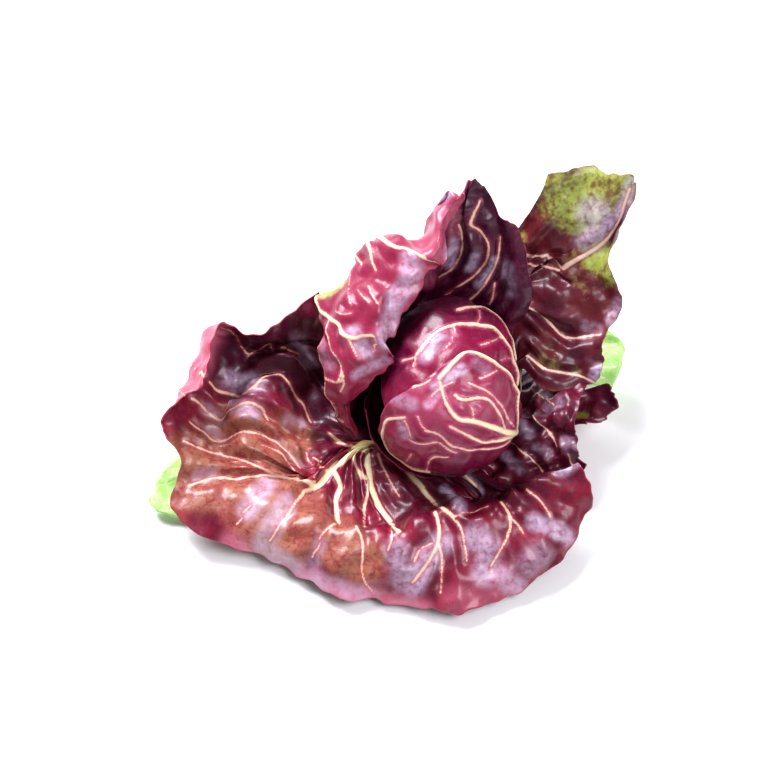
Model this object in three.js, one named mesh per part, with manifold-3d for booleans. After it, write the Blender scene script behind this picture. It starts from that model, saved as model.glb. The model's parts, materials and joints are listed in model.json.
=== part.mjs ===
// A head of red radicchio: a rolled heart on a cut stem, with large waved outer leaves round it.
// Millimetres, +Z up. The origin is the middle of the stem's flat cut face.

import * as THREE from 'three';
import { mergeVertices } from 'three/addons/utils/BufferGeometryUtils.js';
import Module from 'manifold-3d';

const wasm = await Module();
wasm.setup();

// Stem
const STEM_RADIUS = 11;
const STEM_FOOT_RADIUS = 10.4;
const STEM_HEIGHT = 10.6;
const STEM_CHAMFER = 0.6;     // at the cut foot
const STEM_SIDES = 28;

// Blades
const BLADE = 1.0;            // thickness between the ribs
const RIB_DROP = 1.5;         // how far a full rib stands out below the blade
const RIB_RISE = 0.5;         // and above it
const RIB_SHARE = 0.11;       // half a rib's width, as a share of the space between two ribs
const RIB_FADE = 0.75;        // share of a rib's depth that is gone at the margin
const LEAF_GAP = 0.6;         // between a leaf's foot and the stem
const FRONT_LEAF_GAP = 1.6;   // the front leaf's foot runs half round the stem, so its facets need more

// How often folds come along a leaf, in radians for each row or column of its points
const CRINKLE_ALONG = [5.1, 2.3];
const CRINKLE_ACROSS = [-2.2, 3.7];
const LARGE_TEETH = 6.1;
const SMALL_TEETH = 10.3;
const SMALL_TOOTH_SHARE = 0.6;
const TEETH_POWER = 6;        // teeth and waves die away fast from the margin inwards
const WAVE_POWER = 5;
const SWELL_END = 1.15;       // the blade's bulge ends a little short of the margin

// Heart: an egg that leans back, blunt end low and in front. Its lengths are counted from its centre,
// and its wrapper leaves lie lifted off it in layers.
const HEART_CENTRE = new THREE.Vector3(0, -0.75, 48.5);
const HEART_SIDE = 35.5;      // to the left and right
const HEART_UP = 52;          // along the drawing, to its point
const HEART_DOWN = 34.5;      // along the drawing, to its blunt end
const HEART_NEAR = 38;        // towards the viewer and away
const HEART_FOOT = 10.9;      // height of the packed core's level foot, just above the stem
const CORE_INSET = 1.2;       // how far the packed core lies inside the egg
const CORE_ROWS = 16;
const CORE_SIDES = 24;
const CORE_SWIRL = 1.6;       // depth of the folds on the core
const CORE_FOLDS = 3;         // how many folds run round it
const CORE_TWIST = 2.4;       // how far they spiral, in radians for each half of its height
const NECK_RADIUS = 9.5;      // where the core sits on the stem

// The leaves are drawn as they are seen from the front, from this far above the level. Each point is
// [across, up the drawing, height], so the third value fixes how far back the point lies.
const DRAWN_FROM_DEG = 60;
const DRAWN_SIN = Math.sin(THREE.MathUtils.degToRad(DRAWN_FROM_DEG));
const DRAWN_COS = Math.cos(THREE.MathUtils.degToRad(DRAWN_FROM_DEG));

function fromDrawing([across, up, height]) {
  return new THREE.Vector3(across, (up - DRAWN_COS * height) / DRAWN_SIN, height);
}

// A point on the heart's egg, or lifted off it. The first three values are a direction of length one.
function onEgg(side, rise, towards, lift) {
  const length = rise > 0 ? HEART_UP : HEART_DOWN;
  const up = rise * (length + lift);
  const near = towards * (HEART_NEAR + lift);
  const across = side * (HEART_SIDE + lift);
  const point = new THREE.Vector3(
    across, up * DRAWN_SIN - near * DRAWN_COS, up * DRAWN_COS + near * DRAWN_SIN);
  return point.add(HEART_CENTRE);
}

// On the heart a point is [degrees right, degrees up, lift], counted from the middle of the side
// that faces the viewer.
function fromHeart([right, up, lift]) {
  const away = THREE.MathUtils.degToRad(Math.hypot(right, up));
  const turn = Math.atan2(up, right);
  return onEgg(Math.cos(turn) * Math.sin(away), Math.sin(turn) * Math.sin(away), Math.cos(away), lift);
}

// One value on a smooth curve through the given values, at a place counted in points.
function along(values, place) {
  const index = Math.min(Math.max(Math.floor(place), 0), values.length - 2);
  const t = place - index;
  const start = values[index];
  const end = values[index + 1];
  return start.map((value, axis) => {
    const next = end[axis];
    const before = index > 0 ? values[index - 1][axis] : 2 * value - next;
    const after = index + 2 < values.length ? values[index + 2][axis] : 2 * next - value;
    const slope = next - before;
    const bend = 2 * before - 5 * value + 4 * next - after;
    const twist = 3 * value - before - 3 * next + after;
    return value + 0.5 * t * (slope + t * (bend + t * twist));
  });
}

// The middle surface of a leaf. Row 0 is at the stem, the last row is the margin.
function middle(leaf, row, column) {
  const across = leaf.rows.map((points) => along(points, column));
  return leaf.place(along(across, row));
}

function surfaceNormal(leaf, row, column) {
  const step = 0.02;
  const outward = middle(leaf, row + step, column).sub(middle(leaf, row - step, column));
  const sideways = middle(leaf, row, column + step).sub(middle(leaf, row, column - step));
  return outward.cross(sideways).normalize().multiplyScalar(leaf.face);
}

// The blade bulges up between the ribs and waves more and more towards its margin.
function puff(leaf, row, column) {
  const last = leaf.rows.length - 1;
  const reach = row / last;
  const between = Math.sin(Math.PI * column) ** 2;
  const swell = leaf.puff * between * Math.sin(Math.PI * Math.min(reach * SWELL_END, 1));
  const wave = leaf.wave * Math.sin(Math.PI * column * leaf.waves + leaf.phase) * reach ** WAVE_POWER;
  const lengthwise = Math.sin(CRINKLE_ALONG[0] * row + CRINKLE_ALONG[1] * column);
  const crosswise = Math.sin(CRINKLE_ACROSS[0] * row + CRINKLE_ACROSS[1] * column);
  const crinkle = leaf.crinkle * lengthwise * crosswise;
  return swell + wave + crinkle * Math.sin(Math.PI * Math.min(reach, 1));
}

// Small teeth: the margin runs a little further out at some columns and stops short at others.
function toothed(leaf, row, column) {
  const last = leaf.rows.length - 1;
  const reach = (row / last) ** TEETH_POWER;
  const large = Math.sin(LARGE_TEETH * column + leaf.phase);
  const tooth = large + SMALL_TOOTH_SHARE * Math.sin(SMALL_TEETH * column);
  return row + leaf.teeth * tooth * reach;
}

function ribSize(leaf, row, column) {
  const nearest = Math.round(column);
  if (Math.abs(column - nearest) > 1e-6) {
    return 0;
  }
  const reach = row / (leaf.rows.length - 1);
  return leaf.ribs[nearest] * (1 - RIB_FADE * reach);
}

function columnPlaces(leaf) {
  const places = [];
  const last = leaf.rows[0].length - 1;
  for (let column = 0; column <= last; column += 1) {
    const ribbed = leaf.ribs[column] > 0;
    if (ribbed && column > 0) {
      places.push(column - RIB_SHARE);
    }
    places.push(column);
    if (ribbed && column < last) {
      places.push(column + RIB_SHARE);
    }
    for (let part = 1; part < leaf.parts && column < last; part += 1) {
      places.push(column + part / leaf.parts);
    }
  }
  return places;
}

// A closed thin blade: the same triangles on both faces, joined round the edge.
function bladeGeometry(leaf) {
  const columns = columnPlaces(leaf);
  const last = leaf.rows.length - 1;
  const rows = Array.from({ length: leaf.steps + 1 }, (_, step) => (last * step) / leaf.steps);
  const upper = [];
  const lower = [];
  for (const row of rows) {
    for (const column of columns) {
      const place = toothed(leaf, row, column);
      const normal = surfaceNormal(leaf, place, column);
      const point = middle(leaf, place, column).addScaledVector(normal, puff(leaf, row, column));
      const rib = ribSize(leaf, row, column);
      upper.push(point.clone().addScaledVector(normal, BLADE / 2 + RIB_RISE * rib));
      lower.push(point.clone().addScaledVector(normal, -BLADE / 2 - RIB_DROP * rib));
    }
  }
  return closedSheet(upper, lower, rows.length, columns.length);
}

function closedSheet(upper, lower, rowCount, columnCount) {
  const under = upper.length;
  const triangles = [];
  const at = (row, column) => row * columnCount + column;
  for (let row = 0; row + 1 < rowCount; row += 1) {
    for (let column = 0; column + 1 < columnCount; column += 1) {
      const a = at(row, column);
      const b = at(row, column + 1);
      const c = at(row + 1, column + 1);
      const d = at(row + 1, column);
      triangles.push([a, b, c], [a, c, d]);
      triangles.push([under + a, under + c, under + b], [under + a, under + d, under + c]);
    }
  }
  const edge = [];
  for (let column = 0; column < columnCount; column += 1) edge.push(at(0, column));
  for (let row = 1; row < rowCount; row += 1) edge.push(at(row, columnCount - 1));
  for (let column = columnCount - 2; column >= 0; column -= 1) edge.push(at(rowCount - 1, column));
  for (let row = rowCount - 2; row > 0; row -= 1) edge.push(at(row, 0));
  edge.forEach((from, index) => {
    const to = edge[(index + 1) % edge.length];
    triangles.push([from, under + from, under + to], [from, under + to, to]);
  });
  return facingOut([...upper, ...lower], triangles);
}

function facingOut(points, triangles) {
  let volume = 0;
  for (const [a, b, c] of triangles) {
    volume += points[a].dot(points[b].clone().cross(points[c]));
  }
  const order = volume > 0 ? triangles : triangles.map(([a, b, c]) => [a, c, b]);
  const geometry = new THREE.BufferGeometry();
  geometry.setAttribute('position', new THREE.Float32BufferAttribute(points.flatMap((p) => p.toArray()), 3));
  geometry.setIndex(order.flat());
  return geometry;
}

// The big front leaf, from its right end round the front and the left to its far left corner.
// Each row holds one point for each rib; the first row is at the stem, the last is the margin.
const FRONT_ROWS = [
  [[14, -9, 14], [8, -11, 12], [2, -12, 10], [-6, -13, 9], [-22, -12, 8.5], [-41, -3, 8.5], [-43, -3, 9],
    [-46, -3, 9], [-48, -2, 9], [-49, -1, 9], [-49.5, -0.5, 9], [-50, 0, 9], [-49, 2, 9], [-48, 4, 9.5],
    [-46, 5, 10], [-44, 9, 10.5], [-41, 14, 12]],
  [[32, -21, 20], [25, -24, 15], [17, -24, 11], [6, -24, 9], [-14, -23, 8], [-41, -23, 8], [-46, -21, 9],
    [-57, -23, 9], [-70, -23, 12], [-81, -19, 14], [-79, -15, 14.5], [-76, -12, 15], [-80, 1, 15],
    [-77, 19, 15], [-70, 33, 15], [-60, 38, 16], [-52, 41, 17]],
  [[45, -19, 27], [37, -26, 20], [26, -31, 11], [14, -33, 9], [-4, -34, 9], [-27, -45, 9], [-43, -42, 11],
    [-59, -38, 13], [-78, -30, 18], [-101, -18, 19], [-104, -6, 24], [-106, 7, 30], [-106, 22, 34],
    [-91, 39, 34], [-85, 52, 34], [-70, 55, 32], [-57, 60, 33]],
  [[55, -16, 33], [46, -25, 31], [32, -32, 29], [18, -35, 29], [-3, -37, 30], [-22, -47, 30],
    [-41, -48, 28], [-58, -45, 27], [-86, -38, 26], [-117, -19, 22], [-121, -9, 22], [-123, 2, 22],
    [-123, 13, 22], [-117, 28, 24], [-107, 50, 30], [-85, 58, 38], [-62, 70, 46]],
  [[64, -13, 37], [64, -26, 31], [58, -44, 25], [40, -58, 22], [9, -63, 22], [-18, -70, 20],
    [-40, -68, 20], [-63, -63, 20], [-95, -51, 20], [-135, -27, 22], [-136, -9, 27], [-140, 8, 34],
    [-144, 30, 42], [-136, 49, 47], [-128, 64, 55], [-94, 60, 47], [-66, 77, 53]],
  [[72, -9, 40], [80, -25, 33], [70, -48, 15], [47, -73, 8.5], [18, -88, 6.5], [-13, -87, 5.5],
    [-42, -83, 5.5], [-70, -75, 6.5], [-101, -58, 8], [-147, -39, 17], [-145, -10, 30], [-156, 12, 45],
    [-140, 28, 58], [-130, 46, 62], [-122, 69, 68], [-98, 64, 55], [-70, 84, 59]],
];
const FRONT_RIBS = [0, 0.6, 0.5, 0.6, 0.9, 1, 0.7, 0.9, 1.3, 1.1, 0.6, 0.9, 0.8, 0.8, 0.7, 0.5, 0];

// The tall leaf behind the heart. Its left side rolls forward over itself, so its later rows come
// back towards the viewer there and end in the free edge of the roll.
const BACK_ROWS = [
  [[-33, 3, 17], [-38, 11, 17], [-40, 22, 18], [-39, 30, 19], [-35, 37, 20], [-30, 43, 20.5], [-24, 47, 21],
    [-18, 50, 21], [-12, 52, 21], [-7, 52, 21], [-2, 53, 21], [4, 53, 21], [10, 52, 21], [16, 50, 21],
    [21, 47, 21], [25, 44, 21]],
  [[-45, 2, 22], [-51, 15, 27], [-55, 31, 36], [-54, 43, 40], [-47, 52, 42], [-38, 59, 44], [-29, 66, 48],
    [-20, 71, 52], [-14, 74, 56], [-10, 79, 60], [-9, 89, 66], [3, 82, 65], [13, 79, 63], [22, 75, 60],
    [29, 66, 53], [32, 56, 45]],
  [[-54, 10, 26], [-60, 21, 43], [-65, 44, 58], [-65, 62, 64], [-55, 73, 66], [-46, 82, 70], [-34, 90, 76],
    [-22, 96, 82], [-14, 103, 88], [-5, 110, 96], [7, 103, 88], [20, 99, 87], [26, 95, 82], [31, 86, 74],
    [34, 74, 64], [36, 62, 53]],
  [[-58, 14, 34], [-64, 28, 58], [-68, 55, 75], [-68, 80, 84], [-52, 94, 92], [-47, 107, 99], [-30, 117, 107],
    [-15, 114, 112], [-9, 129, 120], [0, 138, 128], [8, 119, 106], [17, 119, 108], [29, 110, 97],
    [35, 98, 87], [38, 81, 73], [39, 67, 58]],
  [[-53, 8, 32], [-55, 24, 62], [-55, 47, 84], [-51, 66, 96], [-37, 80, 106], [-29, 95, 112], [-18, 103, 118],
    [-7, 104, 121], [-3, 121, 127], [6, 135, 131], [9, 133, 120], [17, 131, 119], [29, 119, 106],
    [37, 108, 98], [42, 86, 81], [42, 72, 63]],
  [[-49, 3, 28], [-49, 25, 58], [-34, 39, 79], [-29, 48, 89], [-32, 55, 91], [-20, 74, 101], [-9, 93, 108],
    [-1, 97, 112], [1, 115, 121], [9, 131, 127], [12, 145, 131], [20, 142, 128], [29, 127, 114],
    [40, 118, 107], [45, 94, 88], [45, 77, 68]],
];
const BACK_RIBS = [0, 0.5, 0.8, 1, 0.7, 0.8, 1, 0.5, 0.4, 0.5, 0.8, 0.9, 0.9, 0.7, 0.5, 0];

// The tall leaf at the right, from its left margin over its top to its lower edge.
const RIGHT_ROWS = [
  [[24, 48, 16], [27, 45, 16], [28.5, 43, 16], [30, 41, 16], [33, 37, 16.5], [35, 33, 17], [37, 29, 18],
   [38, 26, 20], [38, 23, 21.5], [38, 20, 23]],
  [[35, 88, 62], [37, 87, 61], [38, 86, 61], [39, 85, 60], [40, 82, 58], [41, 77, 56], [42, 72, 53],
   [43, 62, 49], [45, 51, 44], [43, 41, 40]],
  [[36, 112, 83], [46, 106, 77], [51, 103, 75], [56, 102, 73], [55, 91, 67], [55, 77, 62], [55, 68, 55],
   [55, 54, 49], [53, 43, 44], [51, 32, 40]],
  [[43, 124, 96], [58, 119, 91], [70, 108, 81], [65, 97, 74], [72, 89, 69], [72, 75, 62], [67, 59, 51],
   [67, 48, 47], [64, 40, 43], [60, 29, 39]],
  [[51, 137, 108], [68, 138, 109], [82, 128, 104], [87, 111, 90], [85, 98, 80], [87, 77, 66], [81, 60, 56],
   [78, 48, 50], [75, 41, 45], [71, 32, 40]],
  [[55, 148, 118], [73, 152, 120], [91, 148, 118], [104, 144, 115], [90, 108, 92], [97, 80, 71],
   [89, 62, 60], [86, 51, 54], [86, 43, 48], [82, 34, 42]],
];
const RIGHT_RIBS = [0, 0.6, 0.3, 1.1, 0.5, 0.4, 0.9, 0.5, 0.9, 0];

// The dark crinkled leaf right of the heart. It slips under the right end of the front leaf.
const CRUMPLED_ROWS = [
  [[33, 21, 8], [30, 9, 11], [29, 3, 11], [27, -2, 10], [25, -8, 8], [21, -14, 6]],
  [[45, 31, 13], [42, 18, 22], [40, 8, 27], [39, -2, 22], [37, -12, 14], [30, -27, 6]],
  [[56, 39, 22], [53, 18, 33], [53, 8, 32], [53, -3, 25], [51, -14, 16], [46, -27, 8]],
  [[68, 41, 28], [63, 18, 43], [63, 7, 35], [64, -3, 28], [64, -13, 18], [59, -25, 12]],
  [[80, 39, 33], [71, 14, 44], [72, 3, 36], [75, -8, 29], [74, -16, 20], [71, -21, 14]],
];
const CRUMPLED_RIBS = [0, 0.6, 0.8, 0.9, 0.7, 0];

const SMALL_ROWS = [
  [[35, 13, 7], [35, 10, 7], [35, 7, 6.5], [34, 4, 6]],
  [[52, 29, 20], [52, 24, 18], [52, 19, 17], [51, 15, 16]],
  [[70, 29, 24], [73, 24, 22], [71, 17, 20], [66, 11, 19]],
  [[88, 34, 31], [94, 26, 28], [88, 14, 24], [78, 10, 22]],
];
const SMALL_RIBS = [0, 0.9, 0.7, 0];

const UNDER_RIGHT_ROWS = [
  [[26, 28, 4], [30, 26, 4], [33, 23, 4], [35, 19, 3.5]],
  [[58, 51, 12], [62, 46, 12], [65, 40, 11], [66, 32, 9]],
  [[88, 64, 28], [97, 57, 26], [97, 44, 24], [92, 32, 19]],
];
const UNDER_LEFT_ROWS = [
  [[-36, -12, 3], [-38, -8, 3], [-39, -3, 3], [-39, 2, 3]],
  [[-90, -28, 3], [-95, -20, 4], [-96, -10, 5], [-94, 0, 5]],
  [[-144, -40, 4], [-160, -34, 7], [-158, -20, 10], [-147, -6, 12]],
];
const UNDER_RIBS = [0, 1, 0.8, 0];

// The heart's wrapper leaves, in degrees on the heart and millimetres off it.
const WRAP_RIGHT_ROWS = [
  [[84, -108, 1], [70, -114, 1], [56, -120, 1], [40, -125, 1], [22, -129, 1]],
  [[98, -60, 4.2], [86, -74, 4.4], [68, -86, 4.4], [46, -96, 4.4], [16, -104, 4.2]],
  [[98, -18, 4.8], [90, -38, 5], [68, -58, 5], [42, -78, 5], [4, -96, 4.6]],
  [[74, 8, 4.8], [62, -12, 5], [46, -34, 5], [22, -60, 5], [-16, -90, 4.6]],
  [[48, 23, 4.8], [28, 6, 5], [14, -16, 5], [-8, -48, 5], [-38, -80, 4.6]],
  [[16, 29, 4.8], [-4, 14, 5], [-18, -8, 5], [-38, -38, 5], [-56, -66, 4.6]],
  [[-8, 14, 4.6], [-30, 6, 4.8], [-50, -2, 4.8], [-68, -28, 4.8], [-70, -50, 4.4]],
];
const WRAP_LEFT_ROWS = [
  [[2, -131, 1], [-20, -131, 1], [-42, -125, 1], [-62, -116, 1]],
  [[-14, -103, 6.5], [-44, -97, 7], [-74, -84, 7], [-96, -66, 7]],
  [[-42, -86, 7.8], [-66, -78, 7.8], [-96, -60, 7.8], [-116, -36, 7.8]],
  [[-66, -64, 7.8], [-84, -54, 7.8], [-108, -34, 7.8], [-124, -8, 7.8]],
  [[-80, -34, 7.8], [-94, -26, 7.8], [-112, -10, 7.8], [-122, 12, 7.8]],
  [[-80, -8, 7.4], [-92, -2, 7.6], [-106, 10, 7.6], [-114, 26, 7.6]],
];
const WRAP_BACK_ROWS = [
  [[102, -108, 0.6], [112, -104, 0.6], [124, -96, 0.6], [134, -84, 0.6]],
  [[106, -30, 0.8], [120, -12, 3], [126, 18, 5], [112, 58, 4]],
  [[80, -2, 0.8], [83, 32, 4.5], [74, 66, 8.5], [56, 98, 4.5]],
  [[22, 4, 0.6], [32, 38, 2], [26, 74, 5], [12, 108, 3.5]],
  [[-26, -4, 0.6], [-34, 30, 1.4], [-38, 68, 3], [-44, 98, 3]],
  [[-60, -10, 0.6], [-68, 18, 1.4], [-76, 46, 2], [-86, 66, 2]],
];
const WRAP_RIGHT_RIBS = [0, 0.9, 1, 0.6, 0];
const WRAP_LEFT_RIBS = [0, 0.5, 1, 0];
const WRAP_BACK_RIBS = [0, 1, 0.8, 0];

// A leaf's foot: an arc on the stem, from one bearing to another, at one height.
function withFoot(rows, fromDeg, toDeg, height, gap = LEAF_GAP) {
  const count = rows[0].length;
  const radius = STEM_RADIUS + gap;
  const foot = Array.from({ length: count }, (_, index) => {
    const bearing = THREE.MathUtils.degToRad(fromDeg + ((toDeg - fromDeg) * index) / (count - 1));
    const back = radius * Math.sin(bearing);
    return [radius * Math.cos(bearing), DRAWN_SIN * back + DRAWN_COS * height, height];
  });
  return [foot, ...rows];
}

const plain = { place: fromDrawing, face: -1, puff: 2, wave: 2, waves: 1, phase: 0, crinkle: 0, teeth: 0.05 };
const wrapped = { ...plain, place: fromHeart, puff: 0.3, wave: 0, teeth: 0, crinkle: 0 };

const LEAVES = [
  { ...plain, name: 'leaf_front', ribs: FRONT_RIBS,
    rows: withFoot(FRONT_ROWS, -48, -198, 6.5, FRONT_LEAF_GAP),
    parts: 2, steps: 13, puff: 3, wave: 2.5, teeth: 0.12, colour: 0x7a1f3c, roughness: 0.42 },
  { ...plain, name: 'leaf_back', rows: withFoot(BACK_ROWS, 184, 62, 9.4), ribs: BACK_RIBS,
    parts: 2, steps: 12, puff: 2.4, wave: 2.2, teeth: 0.12, colour: 0x7d2247, roughness: 0.42 },
  { ...plain, name: 'leaf_right', rows: withFoot(RIGHT_ROWS, 58, 20, 8), ribs: RIGHT_RIBS,
    parts: 2, steps: 12, puff: 2.6, wave: 2.4, teeth: 0.12, colour: 0x5d3a30, roughness: 0.5 },
  { ...plain, name: 'leaf_crumpled', rows: withFoot(CRUMPLED_ROWS, 8, -40, 6.4), ribs: CRUMPLED_RIBS,
    parts: 3, steps: 12, puff: 2, wave: 2, crinkle: 1.6, teeth: 0.16, colour: 0x4a1226, roughness: 0.35 },
  { ...plain, name: 'leaf_right_small', rows: withFoot(SMALL_ROWS, 20, 8, 4.6), ribs: SMALL_RIBS,
    parts: 3, steps: 9, puff: 1.2, wave: 1.6, teeth: 0.2, colour: 0x5a1d24, roughness: 0.45 },
  { ...plain, name: 'leaf_under_right', rows: withFoot(UNDER_RIGHT_ROWS, 50, 30, 2.6), ribs: UNDER_RIBS,
    parts: 2, steps: 8, puff: 0.8, wave: 0.8, teeth: 0.01, colour: 0x9ad070, roughness: 0.5 },
  { ...plain, name: 'leaf_under_left', rows: withFoot(UNDER_LEFT_ROWS, 202, 180, 2.6), ribs: UNDER_RIBS,
    parts: 2, steps: 10, puff: 0.5, wave: 0.6, teeth: 0.01, colour: 0x9ad070, roughness: 0.5 },
  { ...wrapped, name: 'heart_leaf_right', rows: WRAP_RIGHT_ROWS, ribs: WRAP_RIGHT_RIBS,
    parts: 2, steps: 13, colour: 0x9c1b52, roughness: 0.36 },
  { ...wrapped, name: 'heart_leaf_left', rows: WRAP_LEFT_ROWS, ribs: WRAP_LEFT_RIBS,
    parts: 3, steps: 10, colour: 0x8c174b, roughness: 0.36 },
  { ...wrapped, face: 1, name: 'heart_leaf_back', rows: WRAP_BACK_ROWS, ribs: WRAP_BACK_RIBS,
    parts: 3, steps: 11, colour: 0x8a1a4c, roughness: 0.36 },
];

function leafMesh(leaf) {
  const material = new THREE.MeshStandardMaterial({
    color: leaf.colour, roughness: leaf.roughness, metalness: 0, side: THREE.DoubleSide,
  });
  const mesh = new THREE.Mesh(bladeGeometry(leaf), material);
  mesh.name = leaf.name;
  return mesh;
}

function stemMesh() {
  const profile = [
    new THREE.Vector2(0, 0),
    new THREE.Vector2(STEM_FOOT_RADIUS - STEM_CHAMFER, 0),
    new THREE.Vector2(STEM_FOOT_RADIUS, STEM_CHAMFER),
    new THREE.Vector2(STEM_RADIUS, STEM_HEIGHT * 0.5),
    new THREE.Vector2(STEM_RADIUS, STEM_HEIGHT),
    new THREE.Vector2(0, STEM_HEIGHT),
  ];
  const geometry = new THREE.LatheGeometry(profile, STEM_SIDES);
  geometry.rotateX(Math.PI / 2);
  const material = new THREE.MeshStandardMaterial({ color: 0xe8dfc4, roughness: 0.6, metalness: 0 });
  const mesh = new THREE.Mesh(geometry, material);
  mesh.name = 'stem';
  return mesh;
}

// The tightly packed young leaves: an egg with spiral folds, cut level above the stem.
function coreMesh() {
  const geometry = new THREE.SphereGeometry(1, CORE_SIDES, CORE_ROWS);
  geometry.rotateX(Math.PI / 2);
  geometry.deleteAttribute('normal');
  geometry.deleteAttribute('uv');
  const merged = mergeVertices(geometry, 1e-5);
  const position = merged.getAttribute('position');
  const point = new THREE.Vector3();
  const footRing = Math.sin(Math.PI / CORE_ROWS);
  for (let index = 0; index < position.count; index += 1) {
    point.fromBufferAttribute(position, index);
    const girth = Math.hypot(point.x, point.y);
    if (point.z < 0 && girth < footRing * 1.01) {
      point.set((point.x * NECK_RADIUS) / footRing, (point.y * NECK_RADIUS) / footRing, HEART_FOOT);
    } else {
      const bearing = Math.atan2(point.y, point.x);
      const turn = (CORE_FOLDS / 2) * bearing + CORE_TWIST * point.z;
      const fold = CORE_SWIRL * Math.abs(Math.sin(turn)) * girth;
      const rise = point.y * DRAWN_SIN + point.z * DRAWN_COS;
      const towards = point.z * DRAWN_SIN - point.y * DRAWN_COS;
      point.copy(onEgg(point.x, rise, towards, -CORE_INSET - fold));
    }
    position.setXYZ(index, point.x, point.y, point.z);
  }
  const material = new THREE.MeshStandardMaterial({ color: 0x8e1a4e, roughness: 0.4, metalness: 0 });
  const mesh = new THREE.Mesh(merged, material);
  mesh.name = 'heart_core';
  return mesh;
}

const heart = new THREE.Group();
const outer = new THREE.Group();
heart.add(coreMesh());
for (const leaf of LEAVES) {
  (leaf.place === fromHeart ? heart : outer).add(leafMesh(leaf));
}

const head = new THREE.Group();
head.add(stemMesh(), heart, outer);

export default head;
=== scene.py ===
"""A head of red radicchio: ribbed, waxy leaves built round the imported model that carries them."""

import json
import math
from dataclasses import dataclass, field

import bmesh
import bpy
import numpy as np
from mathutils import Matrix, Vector

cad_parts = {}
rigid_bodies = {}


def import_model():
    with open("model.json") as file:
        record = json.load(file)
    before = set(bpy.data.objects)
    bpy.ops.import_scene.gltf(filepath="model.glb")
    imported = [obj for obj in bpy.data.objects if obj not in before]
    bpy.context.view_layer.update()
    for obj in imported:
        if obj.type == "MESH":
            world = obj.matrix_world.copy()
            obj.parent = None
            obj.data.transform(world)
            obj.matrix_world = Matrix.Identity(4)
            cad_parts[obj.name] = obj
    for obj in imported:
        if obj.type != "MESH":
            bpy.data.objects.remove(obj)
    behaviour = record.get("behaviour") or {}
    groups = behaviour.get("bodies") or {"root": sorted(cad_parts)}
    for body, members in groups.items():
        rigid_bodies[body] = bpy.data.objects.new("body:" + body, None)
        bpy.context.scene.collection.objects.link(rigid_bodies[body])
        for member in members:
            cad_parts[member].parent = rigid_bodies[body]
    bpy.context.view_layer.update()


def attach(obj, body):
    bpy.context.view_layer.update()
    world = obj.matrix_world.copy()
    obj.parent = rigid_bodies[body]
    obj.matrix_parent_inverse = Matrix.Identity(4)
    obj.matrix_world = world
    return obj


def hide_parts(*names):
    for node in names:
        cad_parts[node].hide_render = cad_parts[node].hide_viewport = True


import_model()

bl_info = {
    "name": "Radicchio head",
    "version": (1, 0, 0),
    "blender": (4, 5, 0),
    "location": "View3D > Sidebar > Radicchio",
    "description": "Builds the leaves, heart and stem of a radicchio head round its packed model",
    "category": "Object",
}

MM = 0.001
BODY = "root"

# The leaves are drawn as seen from the front, from this far above the level. A point of a leaf is
# [across, up the drawing, height] in millimetres.
DRAWN_FROM = math.radians(60)
DRAWN_SIN = math.sin(DRAWN_FROM)
DRAWN_COS = math.cos(DRAWN_FROM)

# Rib paths are traced on the photograph, in its pixels. This pixel is the stem's middle.
PHOTO_STEM_PX = (445, 445)
PHOTO_CENTRE_PX = (390, 390)
MM_PER_PX = 0.55
PHOTO_WIDTH_PX = 780

# The heart is an egg that leans back, blunt end low and in front. Lengths are from its centre.
HEART_CENTRE = np.array([0, -0.75, 48.5])
HEART_SIDE = 35.5
HEART_UP = 52
HEART_DOWN = 34.5
HEART_NEAR = 38
HEART_FOOT = 10.9
CORE_INSET = 1.2
CORE_FOLDS = 1.5
CORE_TWIST = 2.4

# How often folds and teeth come along a leaf, in radians for each row or column of its points.
CRINKLE_ALONG = (5.1, 2.3)
CRINKLE_ACROSS = (-2.2, 3.7)
PLEATS_ACROSS = 3 * math.pi
PLEATS_ALONG = 2
LARGE_TEETH = 6.1
SMALL_TEETH = 10.3
FINEST_TEETH = 19.3
FINEST_TEETH_BEND = 4.1

# How strong the smaller teeth are beside the large ones, and how late teeth and waves grow outwards.
SMALL_TEETH_SHARE = 0.6
FINEST_TEETH_SHARE = 0.3
TEETH_POWER = 6
WAVE_POWER = 5
SWELL_END = 1.15

# Soft folds and the pillows between ribs, in mm. Folds are full after a quarter of the leaf's length,
# and pleats begin and fade between these shares of it.
FOLD_LENGTH = 13
FINE_FOLD_LENGTH = 6
FINE_FOLD_SHARE = 0.15
PILLOW_WIDTH = 5
FOLD_GROWTH = 4
PLEATS_BEGIN = (0.1, 0.3)
PLEATS_FADE = (0.75, 0.5)

# Ribs, in mm: the thinnest half-width that the mesh can show, how far from a rib its distance is
# worked out, and the distance that points beyond have.
THINNEST_RIB = 0.45
RIB_REACH = 8
FAR_FROM_RIBS = 30

# A rib's foot, and its height on each face of the blade, for each mm of its half-width.
RIB_FOOT = 1.25
INNER_RIB_HEIGHT = 0.35
UNDER_RIB_HEIGHT = 0.9

# A traced rib is followed in these steps. It lies on the nearest of the front points that are drawn
# within reach, and points further apart than the largest jump are on another fold of the leaf.
TRACE_STEP_PX = 1.2
TRACE_REACH_PX = 3
FRONT_DEPTH = 7
LARGEST_JUMP = 9
TRACE_SOFTENING = 7

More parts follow.
